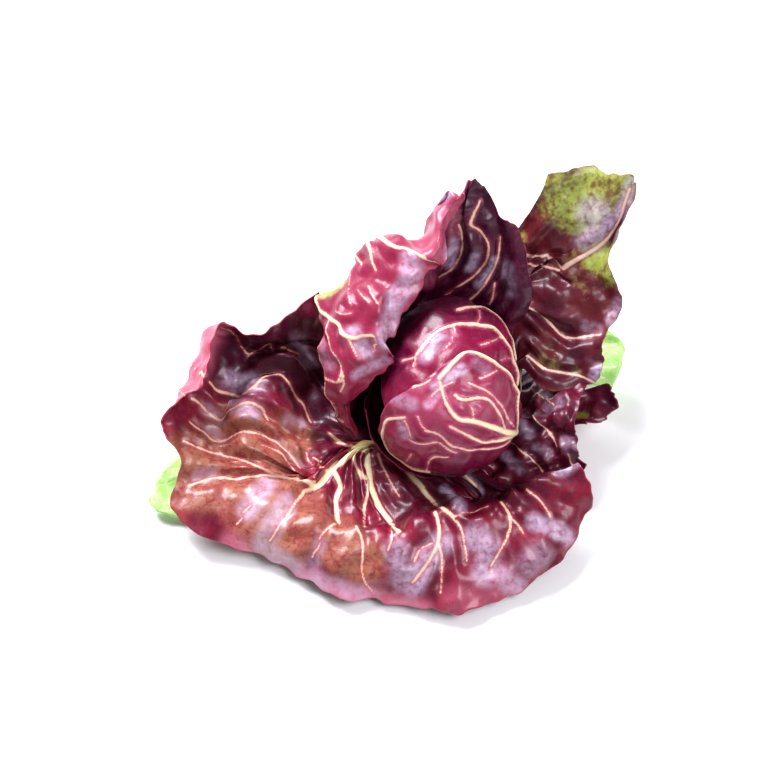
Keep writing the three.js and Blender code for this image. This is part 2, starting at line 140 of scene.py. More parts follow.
# Ribs along the columns, and the side veins that leave them, in rows and columns. Widths are
# half-widths in mm, and a taper is the share that is lost towards the tip.
VEIN_WIDTH = 1.5
VEIN_TAPER = 0.72
VEIN_END = 0.97
VEIN_DRIFT = 0.1
VEIN_SWAYS = 2.1
VEIN_POINTS = 160
SIDE_VEIN_WIDTH = 0.55
SIDE_VEIN_TAPER = 0.6
SIDE_VEIN_FIRST = 1.2
SIDE_VEIN_LAST = 0.8
SIDE_VEIN_SPACING = 0.62
SIDE_VEIN_ROWS = 0.95
SIDE_VEIN_COLUMNS = 0.62
SIDE_VEIN_BEND = 0.8
SIDE_VEIN_WAVE = 0.04
SIDE_VEIN_WAVES = 9
SIDE_VEIN_POINTS = 40
SIDE_VEIN_END = 0.98
MARGIN_GAP = 0.05

# A leaf's rows are about this far apart. Its foot lies on the stem, with a small gap between them.
ROW_LENGTH = 20
STEM_RADIUS = 11.0
LEAF_GAP = 0.6
FRONT_LEAF_GAP = 1.6

# Each row of a leaf holds one point for each rib, from the stem's end to the margin.
FRONT_ROWS = [
    [[14, -9, 14], [8, -11, 12], [2, -12, 10], [-6, -13, 9], [-22, -12, 8.5], [-41, -3, 8.5],
     [-43, -3, 9], [-46, -3, 9], [-48, -2, 9], [-49, -1, 9], [-49.5, -0.5, 9], [-50, 0, 9], [-49, 2, 9],
     [-48, 4, 9.5], [-46, 5, 10], [-44, 9, 10.5], [-41, 14, 12]],
    [[32, -21, 20], [25, -24, 15], [17, -24, 11], [6, -24, 9], [-14, -23, 8], [-41, -23, 8],
     [-46, -21, 9], [-57, -23, 9], [-70, -23, 12], [-81, -19, 14], [-79, -15, 14.5], [-76, -12, 15],
     [-80, 1, 15], [-77, 19, 15], [-70, 33, 15], [-60, 38, 16], [-52, 41, 17]],
    [[45, -19, 27], [37, -26, 20], [26, -31, 11], [14, -33, 9], [-4, -34, 9], [-27, -45, 9],
     [-43, -42, 11], [-59, -38, 13], [-78, -30, 18], [-101, -18, 19], [-104, -6, 24], [-106, 7, 30],
     [-106, 22, 34], [-91, 39, 34], [-85, 52, 34], [-70, 55, 32], [-57, 60, 33]],
    [[55, -16, 33], [46, -25, 31], [32, -32, 29], [18, -35, 29], [-3, -37, 30], [-22, -47, 30],
     [-41, -48, 28], [-58, -45, 27], [-86, -38, 26], [-117, -19, 22], [-121, -9, 22], [-123, 2, 22],
     [-123, 13, 22], [-117, 28, 24], [-107, 50, 30], [-85, 58, 38], [-62, 70, 46]],
    [[64, -13, 37], [64, -26, 31], [58, -44, 25], [40, -58, 22], [9, -63, 22], [-18, -70, 20],
     [-40, -68, 20], [-63, -63, 20], [-95, -51, 20], [-135, -27, 22], [-136, -9, 27], [-140, 8, 34],
     [-144, 30, 42], [-136, 49, 47], [-128, 64, 55], [-94, 60, 47], [-66, 77, 53]],
    [[72, -9, 40], [80, -25, 33], [70, -48, 15], [47, -73, 8.5], [18, -88, 6.5], [-13, -87, 5.5],
     [-42, -83, 5.5], [-70, -75, 6.5], [-101, -58, 8], [-147, -39, 17], [-145, -10, 30], [-156, 12, 45],
     [-140, 28, 58], [-130, 46, 62], [-122, 69, 68], [-98, 64, 55], [-70, 84, 59]],
]
BACK_ROWS = [
    [[-33, 3, 17], [-38, 11, 17], [-40, 22, 18], [-39, 30, 19], [-35, 37, 20], [-30, 43, 20.5], [-24, 47, 21],
     [-18, 50, 21], [-12, 52, 21], [-7, 52, 21], [-2, 53, 21], [4, 53, 21], [10, 52, 21], [16, 50, 21],
     [21, 47, 21], [25, 44, 21]],
    [[-45, 2, 22], [-51, 15, 27], [-55, 31, 36], [-54, 43, 40], [-47, 52, 42], [-38, 59, 44], [-29, 66, 48],
     [-20, 71, 52], [-14, 74, 56], [-10, 79, 60], [-9, 89, 66], [3, 82, 65], [13, 79, 63], [22, 75, 60],
     [29, 66, 53], [32, 56, 45]],
    [[-54, 10, 26], [-60, 21, 43], [-65, 44, 58], [-65, 62, 64], [-55, 73, 66], [-46, 82, 70], [-34, 90, 76],
     [-22, 96, 82], [-14, 103, 88], [-5, 110, 96], [7, 103, 88], [20, 99, 87], [26, 95, 82], [31, 86, 74],
     [34, 74, 64], [36, 62, 53]],
    [[-58, 14, 34], [-64, 28, 58], [-68, 55, 75], [-68, 80, 84], [-52, 94, 92], [-47, 107, 99],
     [-30, 117, 107], [-15, 114, 112], [-9, 129, 120], [0, 138, 128], [8, 119, 106], [17, 119, 108],
     [29, 110, 97], [35, 98, 87], [38, 81, 73], [39, 67, 58]],
    [[-53, 8, 32], [-55, 24, 62], [-55, 47, 84], [-51, 66, 96], [-37, 80, 106], [-29, 95, 112],
     [-18, 103, 118], [-7, 104, 121], [-3, 121, 127], [6, 135, 131], [9, 133, 120], [17, 131, 119],
     [29, 119, 106], [37, 108, 98], [42, 86, 81], [42, 72, 63]],
    [[-49, 3, 28], [-49, 25, 58], [-34, 39, 79], [-29, 48, 89], [-32, 55, 91], [-20, 74, 101], [-9, 93, 108],
     [-1, 97, 112], [1, 115, 121], [9, 131, 127], [12, 145, 131], [20, 142, 128], [29, 127, 114],
     [40, 118, 107], [45, 94, 88], [45, 77, 68]],
]
RIGHT_ROWS = [
    [[24, 48, 16], [27, 45, 16], [28.5, 43, 16], [30, 41, 16], [33, 37, 16.5], [35, 33, 17], [37, 29, 18],
     [38, 26, 20], [38, 23, 21.5], [38, 20, 23]],
    [[35, 88, 62], [37, 87, 61], [38, 86, 61], [39, 85, 60], [40, 82, 58], [41, 77, 56], [42, 72, 53],
     [43, 62, 49], [45, 51, 44], [43, 41, 40]],
    [[36, 112, 83], [46, 106, 77], [51, 103, 75], [56, 102, 73], [55, 91, 67], [55, 77, 62], [55, 68, 55],
     [55, 54, 49], [53, 43, 44], [51, 32, 40]],
    [[43, 124, 96], [58, 119, 91], [70, 108, 81], [65, 97, 74], [72, 89, 69], [72, 75, 62], [67, 59, 51],
     [67, 48, 47], [64, 40, 43], [60, 29, 39]],
    [[51, 137, 108], [68, 138, 109], [82, 128, 104], [87, 111, 90], [85, 98, 80], [87, 77, 66], [81, 60, 56],
     [78, 48, 50], [75, 41, 45], [71, 32, 40]],
    [[55, 148, 118], [73, 152, 120], [91, 148, 118], [104, 144, 115], [90, 108, 92], [97, 80, 71],
     [89, 62, 60], [86, 51, 54], [86, 43, 48], [82, 34, 42]],
]
CRUMPLED_ROWS = [
    [[33, 21, 8], [30, 9, 11], [29, 3, 11], [27, -2, 10], [25, -8, 8], [21, -14, 6]],
    [[45, 31, 13], [42, 18, 22], [40, 8, 27], [39, -2, 22], [37, -12, 14], [30, -27, 6]],
    [[56, 39, 22], [53, 18, 33], [53, 8, 32], [53, -3, 25], [51, -14, 16], [46, -27, 8]],
    [[68, 41, 28], [63, 18, 43], [63, 7, 35], [64, -3, 28], [64, -13, 18], [59, -25, 12]],
    [[80, 39, 33], [71, 14, 44], [72, 3, 36], [75, -8, 29], [74, -16, 20], [71, -21, 14]],
]
SMALL_ROWS = [
    [[35, 13, 7], [35, 10, 7], [35, 7, 6.5], [34, 4, 6]],
    [[52, 29, 20], [52, 24, 18], [52, 19, 17], [51, 15, 16]],
    [[70, 29, 24], [73, 24, 22], [71, 17, 20], [66, 11, 19]],
    [[88, 34, 31], [94, 26, 28], [88, 14, 24], [78, 10, 22]],
]
UNDER_RIGHT_ROWS = [
    [[26, 28, 4], [30, 26, 4], [33, 23, 4], [35, 19, 3.5]],
    [[58, 51, 12], [62, 46, 12], [65, 40, 11], [66, 32, 9]],
    [[88, 64, 28], [97, 57, 26], [97, 44, 24], [92, 32, 19]],
]
UNDER_LEFT_ROWS = [
    [[-36, -12, 3], [-38, -8, 3], [-39, -3, 3], [-39, 2, 3]],
    [[-90, -28, 3], [-95, -20, 4], [-96, -10, 5], [-94, 0, 5]],
    [[-144, -40, 4], [-160, -34, 7], [-158, -20, 10], [-147, -6, 12]],
]
# A wrapper leaf's point is degrees right and up from the middle of the heart's near side, and mm off it.
WRAP_RIGHT_ROWS = [
    [[84, -108, 1], [70, -114, 1], [56, -120, 1], [40, -125, 1], [22, -129, 1]],
    [[98, -60, 4.2], [86, -74, 4.4], [68, -86, 4.4], [46, -96, 4.4], [16, -104, 4.2]],
    [[98, -18, 4.8], [90, -38, 5], [68, -58, 5], [42, -78, 5], [4, -96, 4.6]],
    [[74, 8, 4.8], [62, -12, 5], [46, -34, 5], [22, -60, 5], [-16, -90, 4.6]],
    [[48, 23, 4.8], [28, 6, 5], [14, -16, 5], [-8, -48, 5], [-38, -80, 4.6]],
    [[16, 29, 4.8], [-4, 14, 5], [-18, -8, 5], [-38, -38, 5], [-56, -66, 4.6]],
    [[-8, 14, 4.6], [-30, 6, 4.8], [-50, -2, 4.8], [-68, -28, 4.8], [-70, -50, 4.4]],
]
WRAP_LEFT_ROWS = [
    [[2, -131, 1], [-20, -131, 1], [-42, -125, 1], [-62, -116, 1]],
    [[-14, -103, 6.5], [-44, -97, 7], [-74, -84, 7], [-96, -66, 7]],
    [[-42, -86, 7.8], [-66, -78, 7.8], [-96, -60, 7.8], [-116, -36, 7.8]],
    [[-66, -64, 7.8], [-84, -54, 7.8], [-108, -34, 7.8], [-124, -8, 7.8]],
    [[-80, -34, 7.8], [-94, -26, 7.8], [-112, -10, 7.8], [-122, 12, 7.8]],
    [[-80, -8, 7.4], [-92, -2, 7.6], [-106, 10, 7.6], [-114, 26, 7.6]],
]
WRAP_BACK_ROWS = [
    [[102, -108, 0.6], [112, -104, 0.6], [124, -96, 0.6], [134, -84, 0.6]],
    [[106, -30, 0.8], [120, -12, 3], [126, 18, 5], [112, 58, 4]],
    [[80, -2, 0.8], [83, 32, 4.5], [74, 66, 8.5], [56, 98, 4.5]],
    [[22, 4, 0.6], [32, 38, 2], [26, 74, 5], [12, 108, 3.5]],
    [[-26, -4, 0.6], [-34, 30, 1.4], [-38, 68, 3], [-44, 98, 3]],
    [[-60, -10, 0.6], [-68, 18, 1.4], [-76, 46, 2], [-86, 66, 2]],
]

# Ribs that the photograph shows: half-width at the start and at the end in mm, and the path in pixels.
FRONT_RIBS_PX = [
    (2.7, 1.5, [(374, 440), (365, 445), (353, 453), (336, 466), (328, 475), (318, 486), (311, 484)]),
    (1.3, 0.5, [(316, 486), (310, 483), (300, 480), (283, 476), (265, 475), (240, 478), (215, 477),
                (190, 486)]),
    (1.0, 0.5, [(316, 485), (305, 492), (290, 512), (270, 540)]),
    (1.5, 1.2, [(334, 470), (341, 487), (336, 499), (337, 512), (339, 523)]),
    (1.1, 0.8, [(354, 456), (358, 470), (365, 482), (367, 495), (364, 510), (365, 528)]),
    (1.9, 1.5, [(366, 446), (368, 463), (371, 487), (379, 506), (388, 519), (399, 531)]),
    (0.7, 0.5, [(378, 453), (386, 473), (400, 497)]),
    (1.5, 1.0, [(405, 466), (420, 486), (438, 507), (452, 514)]),
    (1.1, 1.1, [(455, 463), (466, 476), (480, 491)]),
    (1.0, 0.5, [(364, 446), (348, 445), (336, 441)]),
    (0.9, 0.5, [(356, 449), (341, 441), (328, 433)]),
    (0.9, 0.5, [(331, 472), (321, 464), (313, 457)]),
    (1.0, 0.6, [(434, 512), (438, 524), (437, 540), (427, 560), (411, 580)]),
    (0.6, 0.4, [(437, 540), (441, 556), (440, 590)]),
    (0.9, 0.5, [(500, 502), (507, 512), (508, 527), (500, 545), (489, 564)]),
    (0.6, 0.4, [(525, 489), (536, 497), (543, 506), (548, 516)]),
    (0.7, 0.4, [(356, 525), (362, 535), (364, 551), (362, 566), (368, 582), (375, 592)]),
    (0.6, 0.4, [(336, 523), (324, 531), (319, 545), (313, 555)]),
    (0.5, 0.4, [(452, 515), (461, 530), (466, 560)]),
    (0.5, 0.4, [(221, 326), (236, 332), (244, 349), (250, 354), (266, 345), (279, 348), (300, 354)]),
    (0.8, 0.6, [(204, 372), (211, 384), (222, 392), (244, 393), (263, 382), (280, 374), (290, 388),
                (300, 403),
                (312, 422)]),
    (0.7, 0.5, [(187, 396), (198, 402), (221, 421), (236, 410), (251, 404), (263, 409), (270, 421)]),
    (0.5, 0.5, [(191, 421), (204, 433), (219, 441), (236, 434), (250, 432), (270, 437), (283, 446),
                (302, 468)]),
    (0.5, 0.5, [(185, 440), (215, 453), (245, 460), (275, 473), (300, 480)]),
    (0.5, 0.4, [(270, 478), (252, 504), (238, 523)]),
    (0.4, 0.35, [(300, 480), (293, 466), (280, 452), (262, 444)]),
    (0.4, 0.35, [(316, 485), (312, 468), (306, 452)]),
    (0.4, 0.35, [(413, 560), (419, 548), (432, 540)]),
    (0.4, 0.35, [(388, 519), (392, 534), (388, 548)]),
    (0.4, 0.35, [(507, 515), (516, 522), (522, 534)]),
    (0.4, 0.35, [(452, 514), (470, 509), (488, 505)]),
]
INNER_RIBS_PX = [
    (0.6, 0.45, [(455, 221), (461, 235), (461, 251), (455, 265), (446, 274), (427, 283)]),
    (0.65, 0.5, [(479, 203), (471, 221), (471, 228), (481, 236), (487, 248), (484, 264), (473, 277),
                 (442, 299)]),
    (0.5, 0.45, [(499, 236), (497, 256), (492, 271), (484, 284), (475, 295), (467, 301)]),
    (0.45, 0.4, [(494, 282), (492, 298), (488, 306)]),
    (0.4, 0.35, [(424, 300), (418, 308), (416, 320)]),
    (0.4, 0.35, [(400, 345), (412, 333), (424, 326), (440, 318)]),
]
FLAP_RIBS_PX = [
    (1.4, 0.9, [(320, 299), (322, 312), (330, 319), (340, 326), (343, 334), (353, 339), (374, 336)]),
    (1.3, 0.4, [(377, 238), (388, 246), (396, 251), (405, 251), (420, 258), (440, 268)]),
    (1.2, 0.6, [(370, 245), (372, 258), (376, 274)]),
    (1.0, 0.5, [(357, 256), (364, 268)]),
    (0.6, 0.4, [(353, 271), (350, 283), (350, 298), (352, 307)]),
    (0.6, 0.4, [(329, 319), (331, 344), (342, 370), (340, 381)]),
    (0.8, 0.5, [(321, 374), (329, 380), (342, 382), (345, 375)]),
    (0.6, 0.4, [(348, 337), (358, 357)]),
    (0.5, 0.4, [(369, 286), (373, 298), (379, 306)]),
    (0.6, 0.6, [(321, 345), (324, 375), (329, 400), (335, 413), (345, 420)]),
    (0.4, 0.35, [(357, 291), (364, 299), (371, 305)]),
    (0.4, 0.35, [(343, 371), (345, 383), (341, 392)]),
    (0.4, 0.35, [(374, 336), (377, 345), (373, 353)]),
    (0.4, 0.35, [(336, 312), (344, 316), (352, 314)]),
]
RIGHT_RIBS_PX = [
    (1.2, 0.8, [(560, 270), (580, 258), (600, 245), (615, 225), (627, 190)]),
    (0.9, 0.8, [(513, 258), (530, 257), (548, 257), (560, 270)]),
    (0.6, 0.5, [(517, 263), (540, 267), (558, 272)]),
    (0.7, 0.6, [(516, 298), (525, 303), (545, 320), (565, 338), (600, 335)]),
    (0.8, 0.6, [(526, 356), (534, 362), (545, 370), (561, 373), (575, 375), (593, 383)]),
]
CRUMPLED_RIBS_PX = [
    (0.5, 0.3, [(508, 441), (520, 449), (532, 460), (542, 471)]),
    (0.4, 0.3, [(530, 415), (545, 428), (556, 446)]),
    (0.6, 0.4, [(521, 374), (527, 384), (538, 396), (553, 405)]),
    (0.4, 0.3, [(566, 452), (571, 465), (570, 480)]),
]
WRAP_RIGHT_RIBS_PX = [
    (1.9, 0.6, [(515, 432), (504, 431), (490, 426), (470, 420), (456, 418), (445, 403), (438, 380)]),
    (1.1, 1.2, [(438, 380), (450, 366), (464, 353), (480, 357), (499, 368), (511, 378), (515, 390),
                (515, 402),
                (514, 415), (515, 432)]),
    (0.8, 0.7, [(454, 395), (461, 400), (482, 398), (492, 406), (504, 428)]),
    (0.5, 0.5, [(465, 383), (486, 392), (499, 406), (512, 428)]),
    (0.6, 1.2, [(448, 425), (462, 432), (478, 440), (490, 440), (502, 437), (514, 434)]),
    (0.5, 0.8, [(424, 429), (437, 433), (449, 443), (464, 448), (485, 448), (499, 445), (508, 438)]),
    (0.4, 0.4, [(409, 438), (418, 443), (437, 442), (456, 452)]),
    (0.5, 0.4, [(448, 455), (431, 456), (426, 469)]),
    (0.4, 0.35, [(436, 377), (424, 384), (413, 389)]),
    (0.4, 0.35, [(430, 397), (440, 388), (452, 382)]),
    (0.4, 0.35, [(496, 370), (484, 377), (477, 379)]),
    (0.4, 0.35, [(404, 418), (409, 428), (411, 437)]),
    (0.4, 0.35, [(417, 415), (422, 425), (432, 431)]),
    (0.4, 0.35, [(470, 420), (472, 411), (468, 405)]),
]
WRAP_BACK_RIBS_PX = [
    (1.6, 0.5, [(515, 385), (514, 373), (508, 352), (496, 333), (479, 327), (458, 326), (436, 333),
                (418, 354),
                (413, 368)]),
    (1.4, 1.0, [(513, 360), (510, 346), (507, 333), (495, 315), (482, 309), (455, 312)]),
    (0.4, 0.4, [(429, 342), (416, 357), (402, 361)]),
    (0.4, 0.35, [(453, 329), (451, 340), (443, 352)]),
    (0.4, 0.35, [(477, 347), (488, 343), (501, 337)]),
    (0.4, 0.35, [(498, 361), (505, 359), (513, 361)]),
    (0.4, 0.35, [(477, 311), (478, 319), (475, 326)]),
]
WRAP_LEFT_RIBS_PX = [
    (1.6, 0.6, [(430, 469), (412, 466), (401, 459), (387, 448), (384, 436), (384, 426), (387, 420),
                (393, 418),
                (406, 417)]),
    (0.5, 0.4, [(412, 451), (406, 461)]),
]


def from_drawing(points):
    across, up, height = np.moveaxis(points, -1, 0)
    return np.stack([across, (up - DRAWN_COS * height) / DRAWN_SIN, height], axis=-1)


def on_egg(side, rise, towards, lift):
    """Points on the heart's egg, or lifted off it, in the direction that the first three values give."""
    up = rise * (np.where(rise > 0, HEART_UP, HEART_DOWN) + lift)
    near = towards * (HEART_NEAR + lift)
    back = up * DRAWN_SIN - near * DRAWN_COS
    points = np.stack([side * (HEART_SIDE + lift), back, up * DRAWN_COS + near * DRAWN_SIN], -1)
    return points + HEART_CENTRE


def from_heart(points):
    right, up, lift = np.moveaxis(points, -1, 0)
    away = np.radians(np.hypot(right, up))
    turn = np.arctan2(up, right)
    return on_egg(np.cos(turn) * np.sin(away), np.sin(turn) * np.sin(away), np.cos(away), lift)


def smooth_through(values, place):
    """Smooth curves through values along the first axis, at places counted in values."""
    index = np.clip(np.floor(place).astype(int), 0, len(values) - 2)
    t = (place - index)[..., None]
    before_first = 2 * values[:1] - values[1:2]
    after_last = 2 * values[-1:] - values[-2:-1]
    padded = np.concatenate([before_first, values, after_last])
    lane = np.arange(values.shape[1])
    before, start, end, after = (padded[index + step, lane] for step in range(4))
    slope = end - before
    bend = 2 * before - 5 * start + 4 * end - after
    twist = 3 * start - before - 3 * end + after
    return start + 0.5 * t * (slope + t * (bend + t * twist))


def ripples(points, length, seed, count=18):
    """Soft random waves of about the given length in mm, the same on every run."""
    draw = np.random.default_rng(seed)
    total = np.zeros(points.shape[:-1])
    for _ in range(count):
        way = draw.normal(size=3)
        way *= 2 * math.pi / (length * draw.uniform(0.7, 1.5) * np.linalg.norm(way))
        total += np.sin(points @ way + draw.uniform(0, 2 * math.pi))
    return total / math.sqrt(count / 2)


def with_foot(rows, from_deg, to_deg, height, gap=LEAF_GAP):
    """The rows with the leaf's foot before them: an arc on the stem at one height."""
    bearing = np.radians(np.linspace(from_deg, to_deg, len(rows[0])))
    radius = STEM_RADIUS + gap
    up = DRAWN_SIN * radius * np.sin(bearing) + DRAWN_COS * height
    foot = np.stack([radius * np.cos(bearing), up, np.full(len(bearing), height)], axis=-1)
    return np.concatenate([foot[None], np.array(rows, dtype=float)])


def to_photo(points):
    """Where points in mm are drawn on the photograph, in pixels."""
    up = DRAWN_SIN * points[..., 1] + DRAWN_COS * points[..., 2]
    right = PHOTO_STEM_PX[0] + points[..., 0] / MM_PER_PX
    return np.stack([right, PHOTO_STEM_PX[1] - up / MM_PER_PX], axis=-1)


def nearness(points):
    """How far in front of the stem's middle points are, towards the photograph's camera, in mm."""
    return DRAWN_SIN * points[..., 2] - DRAWN_COS * points[..., 1]


def smooth_path(points, spacing):
    """A smooth curve through the points, with one point about every spacing."""
    values = np.array(points, dtype=float)[:, None]
    length = np.linalg.norm(np.diff(values[:, 0], axis=0), axis=1).sum()
    places = np.linspace(0, len(points) - 1, max(int(length / spacing), 3))
    return smooth_through(values, places[:, None])[:, 0]


def softened(values, width):
    """A running mean that keeps both ends."""
    count = min(width, len(values) // 2 * 2 - 1)
    if count < 3:
        return values
    half = count // 2
    padded = np.concatenate([np.repeat(values[:1], half, 0), values, np.repeat(values[-1:], half, 0)])
    kernel = np.ones(count) / count
    return np.stack([np.convolve(lane, kernel, "valid") for lane in padded.T], -1)


def step_between(values, low, high):
    """0 at low and 1 at high, with a smooth step between; low may be the larger."""
    t = np.clip((values - low) / (high - low), 0, 1)
    return t * t * (3 - 2 * t)


@dataclass
class Leaf:
    """One leaf, in mm. across and along are the mesh's cells for each column and row of its points."""

    node: str
    rows: list
    veins: list                         # strengths of the ribs that follow the columns
    traced: list = ()                   # ribs traced on the photograph
    patches: dict = field(default_factory=dict)
    place: callable = from_drawing      # turns rows of points into mm
    inner_up: bool = True               # whether rows and columns turn to the leaf's inner face
    puff: float = 2.0                   # how far the blade swells between the columns
    wave: float = 2.0                   # how far the margin waves
    crinkle: float = 0.0                # depth of crinkles all over
    teeth: float = 0.05                 # depth of the margin's teeth, in rows
    pillow: float = 1.0                 # how far the blade stands off beside traced ribs
    fine: float = 0.35                  # height of the soft random folds
    pleats: float = 0.0                 # height of the pleats along the leaf
    both_veins: bool = False            # whether ribs along the columns show on the inner face too
    vein_rows: tuple = (0.0, 1.0)       # where those ribs begin and end, in shares of the length
    vein_nearness: float = math.inf     # those ribs stay farther from the camera than this
    across: int = 20
    along: int = 22
    seed: int = 1

    def __post_init__(self):
        self.rows = np.array(self.rows, dtype=float)
        self.last_row = len(self.rows) - 1
        self.last_column = len(self.rows[0]) - 1
        self.column_cells = self.across * self.last_column
        self.row_cells = self.along * self.last_row

    def middle(self, row, column):
        """The middle surface: columns in one list, and for each of them the rows down one list."""
        by_column = np.swapaxes(self.rows, 0, 1)
        across = smooth_through(by_column, np.tile(column[:, None], (1, len(self.rows))))
        return self.place(smooth_through(np.swapaxes(across, 0, 1), row))

    def facing(self, row, column):
        """The direction that columns and rows turn to, square to the surface."""
        step = 0.02
        outward = self.middle(row + step, column) - self.middle(row - step, column)
        sideways = self.middle(row, column + step) - self.middle(row, column - step)
        facing = np.cross(sideways, outward)
        return facing / np.linalg.norm(facing, axis=-1, keepdims=True)

    def swell(self, row, column):
        """How far the blade stands out towards its inner face, before its ribs and fine folds."""
        reach = row / self.last_row
        between = np.sin(np.pi * column) ** 2
        swell = self.puff * between * np.sin(np.pi * np.minimum(reach * SWELL_END, 1))
        wave = self.wave * np.sin(np.pi * column) * reach**WAVE_POWER
        lengthwise = np.sin(CRINKLE_ALONG[0] * row + CRINKLE_ALONG[1] * column)
        crosswise = np.sin(CRINKLE_ACROSS[0] * row + CRINKLE_ACROSS[1] * column)
        crinkle = self.crinkle * lengthwise * crosswise
        return swell + wave + crinkle * np.sin(np.pi * np.minimum(reach, 1))

    def toothed(self, row, column):
        reach = (row / self.last_row) ** TEETH_POWER
        tooth = np.sin(LARGE_TEETH * column) + SMALL_TEETH_SHARE * np.sin(SMALL_TEETH * column)
        bend = np.sin(FINEST_TEETH_BEND * column)
        tooth += FINEST_TEETH_SHARE * np.sin(FINEST_TEETH * column + bend)
        return row + self.teeth * tooth * reach

    def lay_out(self):
        """Works out the smooth surface on the leaf's grid of rows and columns."""
        column = np.linspace(0, self.last_column, self.column_cells + 1)
        row = np.linspace(0, self.last_row, self.row_cells + 1)[:, None] + 0 * column
        place = self.toothed(row, column)
        self.direction = self.facing(place, column)
        if not self.inner_up:
            self.direction = -self.direction
        plain = self.middle(place, column)
        self.surface = plain + self.direction * self.swell(row, column)[..., None]
        self.reach = row / self.last_row
        self.column = column
        self.row = row

    def at(self, rows, columns):
        """Points of the laid-out surface, between its grid points too."""
        inside = 1e-6
        down = np.clip(rows * self.row_cells / self.last_row, 0, self.row_cells - inside)
        over = np.clip(columns * self.column_cells / self.last_column, 0, self.column_cells - inside)
        i = down.astype(int)
        j = over.astype(int)
        t = (down - i)[:, None]
        s = (over - j)[:, None]
        near = self.surface[i, j] * (1 - s) + self.surface[i, j + 1] * s
        far = self.surface[i + 1, j] * (1 - s) + self.surface[i + 1, j + 1] * s
        return near * (1 - t) + far * t

    def traced_lines(self):
        """The photograph's ribs, laid on the part of the surface that the camera sees."""
        pixels = to_photo(self.surface).reshape(-1, 2)
        front = nearness(self.surface).reshape(-1)
        width = self.column_cells + 1
        lines = []
        for start, end, path in self.traced:
            found = []
            for pixel in smooth_path(path, TRACE_STEP_PX):
                apart = np.linalg.norm(pixels - pixel, axis=1)
                close = np.flatnonzero(apart < TRACE_REACH_PX)
                if len(close) == 0:
                    continue
                seen = close[front[close] > front[close].max() - FRONT_DEPTH]
                best = seen[np.argmin(apart[seen])]
                found.append((self.row.flat[best], self.column[best % width]))
            if len(found) < 4:
                continue
            route = softened(np.array(found), TRACE_SOFTENING)
            points = self.at(route[:, 0], route[:, 1])
            jump = np.linalg.norm(np.diff(points, axis=0), axis=1)
            keep = np.concatenate([[True], jump < LARGEST_JUMP])
            half = np.linspace(start, end, len(points))
            lines.append((points[keep], half[keep]))
        return lines

    def vein_lines(self):
        """Ribs along the columns, with side veins that leave them at a slant."""
        lines = []
        for index, strength in enumerate(self.veins):
            if strength <= 0:
                continue
            first, last = self.vein_rows
            rows = self.last_row * np.linspace(first, last * VEIN_END, VEIN_POINTS)
            drift = VEIN_DRIFT * np.sin(VEIN_SWAYS * rows + index) * (rows / self.last_row)
            points = self.at(rows, np.clip(index + drift, 0, self.last_column))
            lines.append((points, VEIN_WIDTH * strength * (1 - VEIN_TAPER * rows / self.last_row)))
            starts = np.arange(SIDE_VEIN_FIRST, self.last_row * SIDE_VEIN_LAST, SIDE_VEIN_SPACING)
            for number, start in enumerate(starts):
                side = 1 if (number + index) % 2 else -1
                along = np.linspace(0, 1, SIDE_VEIN_POINTS)
                side_rows = start + SIDE_VEIN_ROWS * along
                side_columns = index + side * SIDE_VEIN_COLUMNS * along**SIDE_VEIN_BEND
                side_columns = side_columns + SIDE_VEIN_WAVE * np.sin(SIDE_VEIN_WAVES * along + number)
                inside = (side_columns > MARGIN_GAP) & (side_columns < self.last_column - MARGIN_GAP)
                inside &= side_rows < self.last_row * last * SIDE_VEIN_END
                if inside.sum() > 6:
                    points = self.at(side_rows[inside], side_columns[inside])
                    half = strength * SIDE_VEIN_WIDTH * (1 - SIDE_VEIN_TAPER * along[inside])
                    lines.append((points, half))
        kept = []
        for points, half in lines:
            keep = nearness(points) < self.vein_nearness
            if keep.sum() > 3:
                kept.append((points[keep], half[keep]))
        return kept

    def beyond(self, lines):
        """For each grid point: mm from the nearest rib's edge, and the height of the rib's round back."""
        points = self.surface.reshape(-1, 3).astype(np.float32)
        beyond = np.full(len(points), FAR_FROM_RIBS, dtype=np.float32)
        back = np.zeros(len(points), dtype=np.float32)
        for path, half in lines:
            box_low = path.min(0) - RIB_REACH
            box_high = path.max(0) + RIB_REACH
            near = np.flatnonzero(((points > box_low) & (points < box_high)).all(1))
            if len(near) == 0:
                continue
            chosen = points[near]
            path = path.astype(np.float32)
            square = (chosen**2).sum(1)[:, None] + (path**2).sum(1)[None] - 2 * chosen @ path.T
            closest = square.argmin(1)
            apart = np.sqrt(np.maximum(square[np.arange(len(near)), closest], 0))
            width = np.maximum(half[closest], THINNEST_RIB)
            beyond[near] = np.minimum(beyond[near], apart - width)
            round_back = width * np.sqrt(np.clip(1 - (apart / (width * RIB_FOOT)) ** 2, 0, 1))
            back[near] = np.maximum(back[near], round_back)
        return beyond.reshape(self.reach.shape), back.reshape(self.reach.shape)

    def patch(self, name):
        """How strongly a colour patch covers each grid point."""
        cover = np.zeros(self.reach.shape)
        pixels = to_photo(self.surface)
        for places, radius, amount in self.patches.get(name, ()):
            stroke = smooth_path(places, STROKE_STEP_PX)[:, None, None]
            apart = np.linalg.norm(pixels - stroke, axis=-1).min(axis=0)
            fade = step_between(-apart, -STROKE_END * radius, -STROKE_CORE * radius)
            cover = np.maximum(cover, amount * fade)
        return cover


def finished_mesh(name, shape, points, fields):
    """The shape with its points moved, given in mm, and with the values that the paints read."""
    for vertex, point in zip(shape.verts, points * MM):
        vertex.co = point
    for face in shape.faces:
        face.smooth = True
    mesh = bpy.data.meshes.new(name)
    shape.to_mesh(mesh)
    shape.free()
    for kind, values in fields.items():
        attribute = mesh.attributes.new(kind, "FLOAT", "POINT")
        attribute.data.foreach_set("value", values.astype(np.float32))
    return mesh


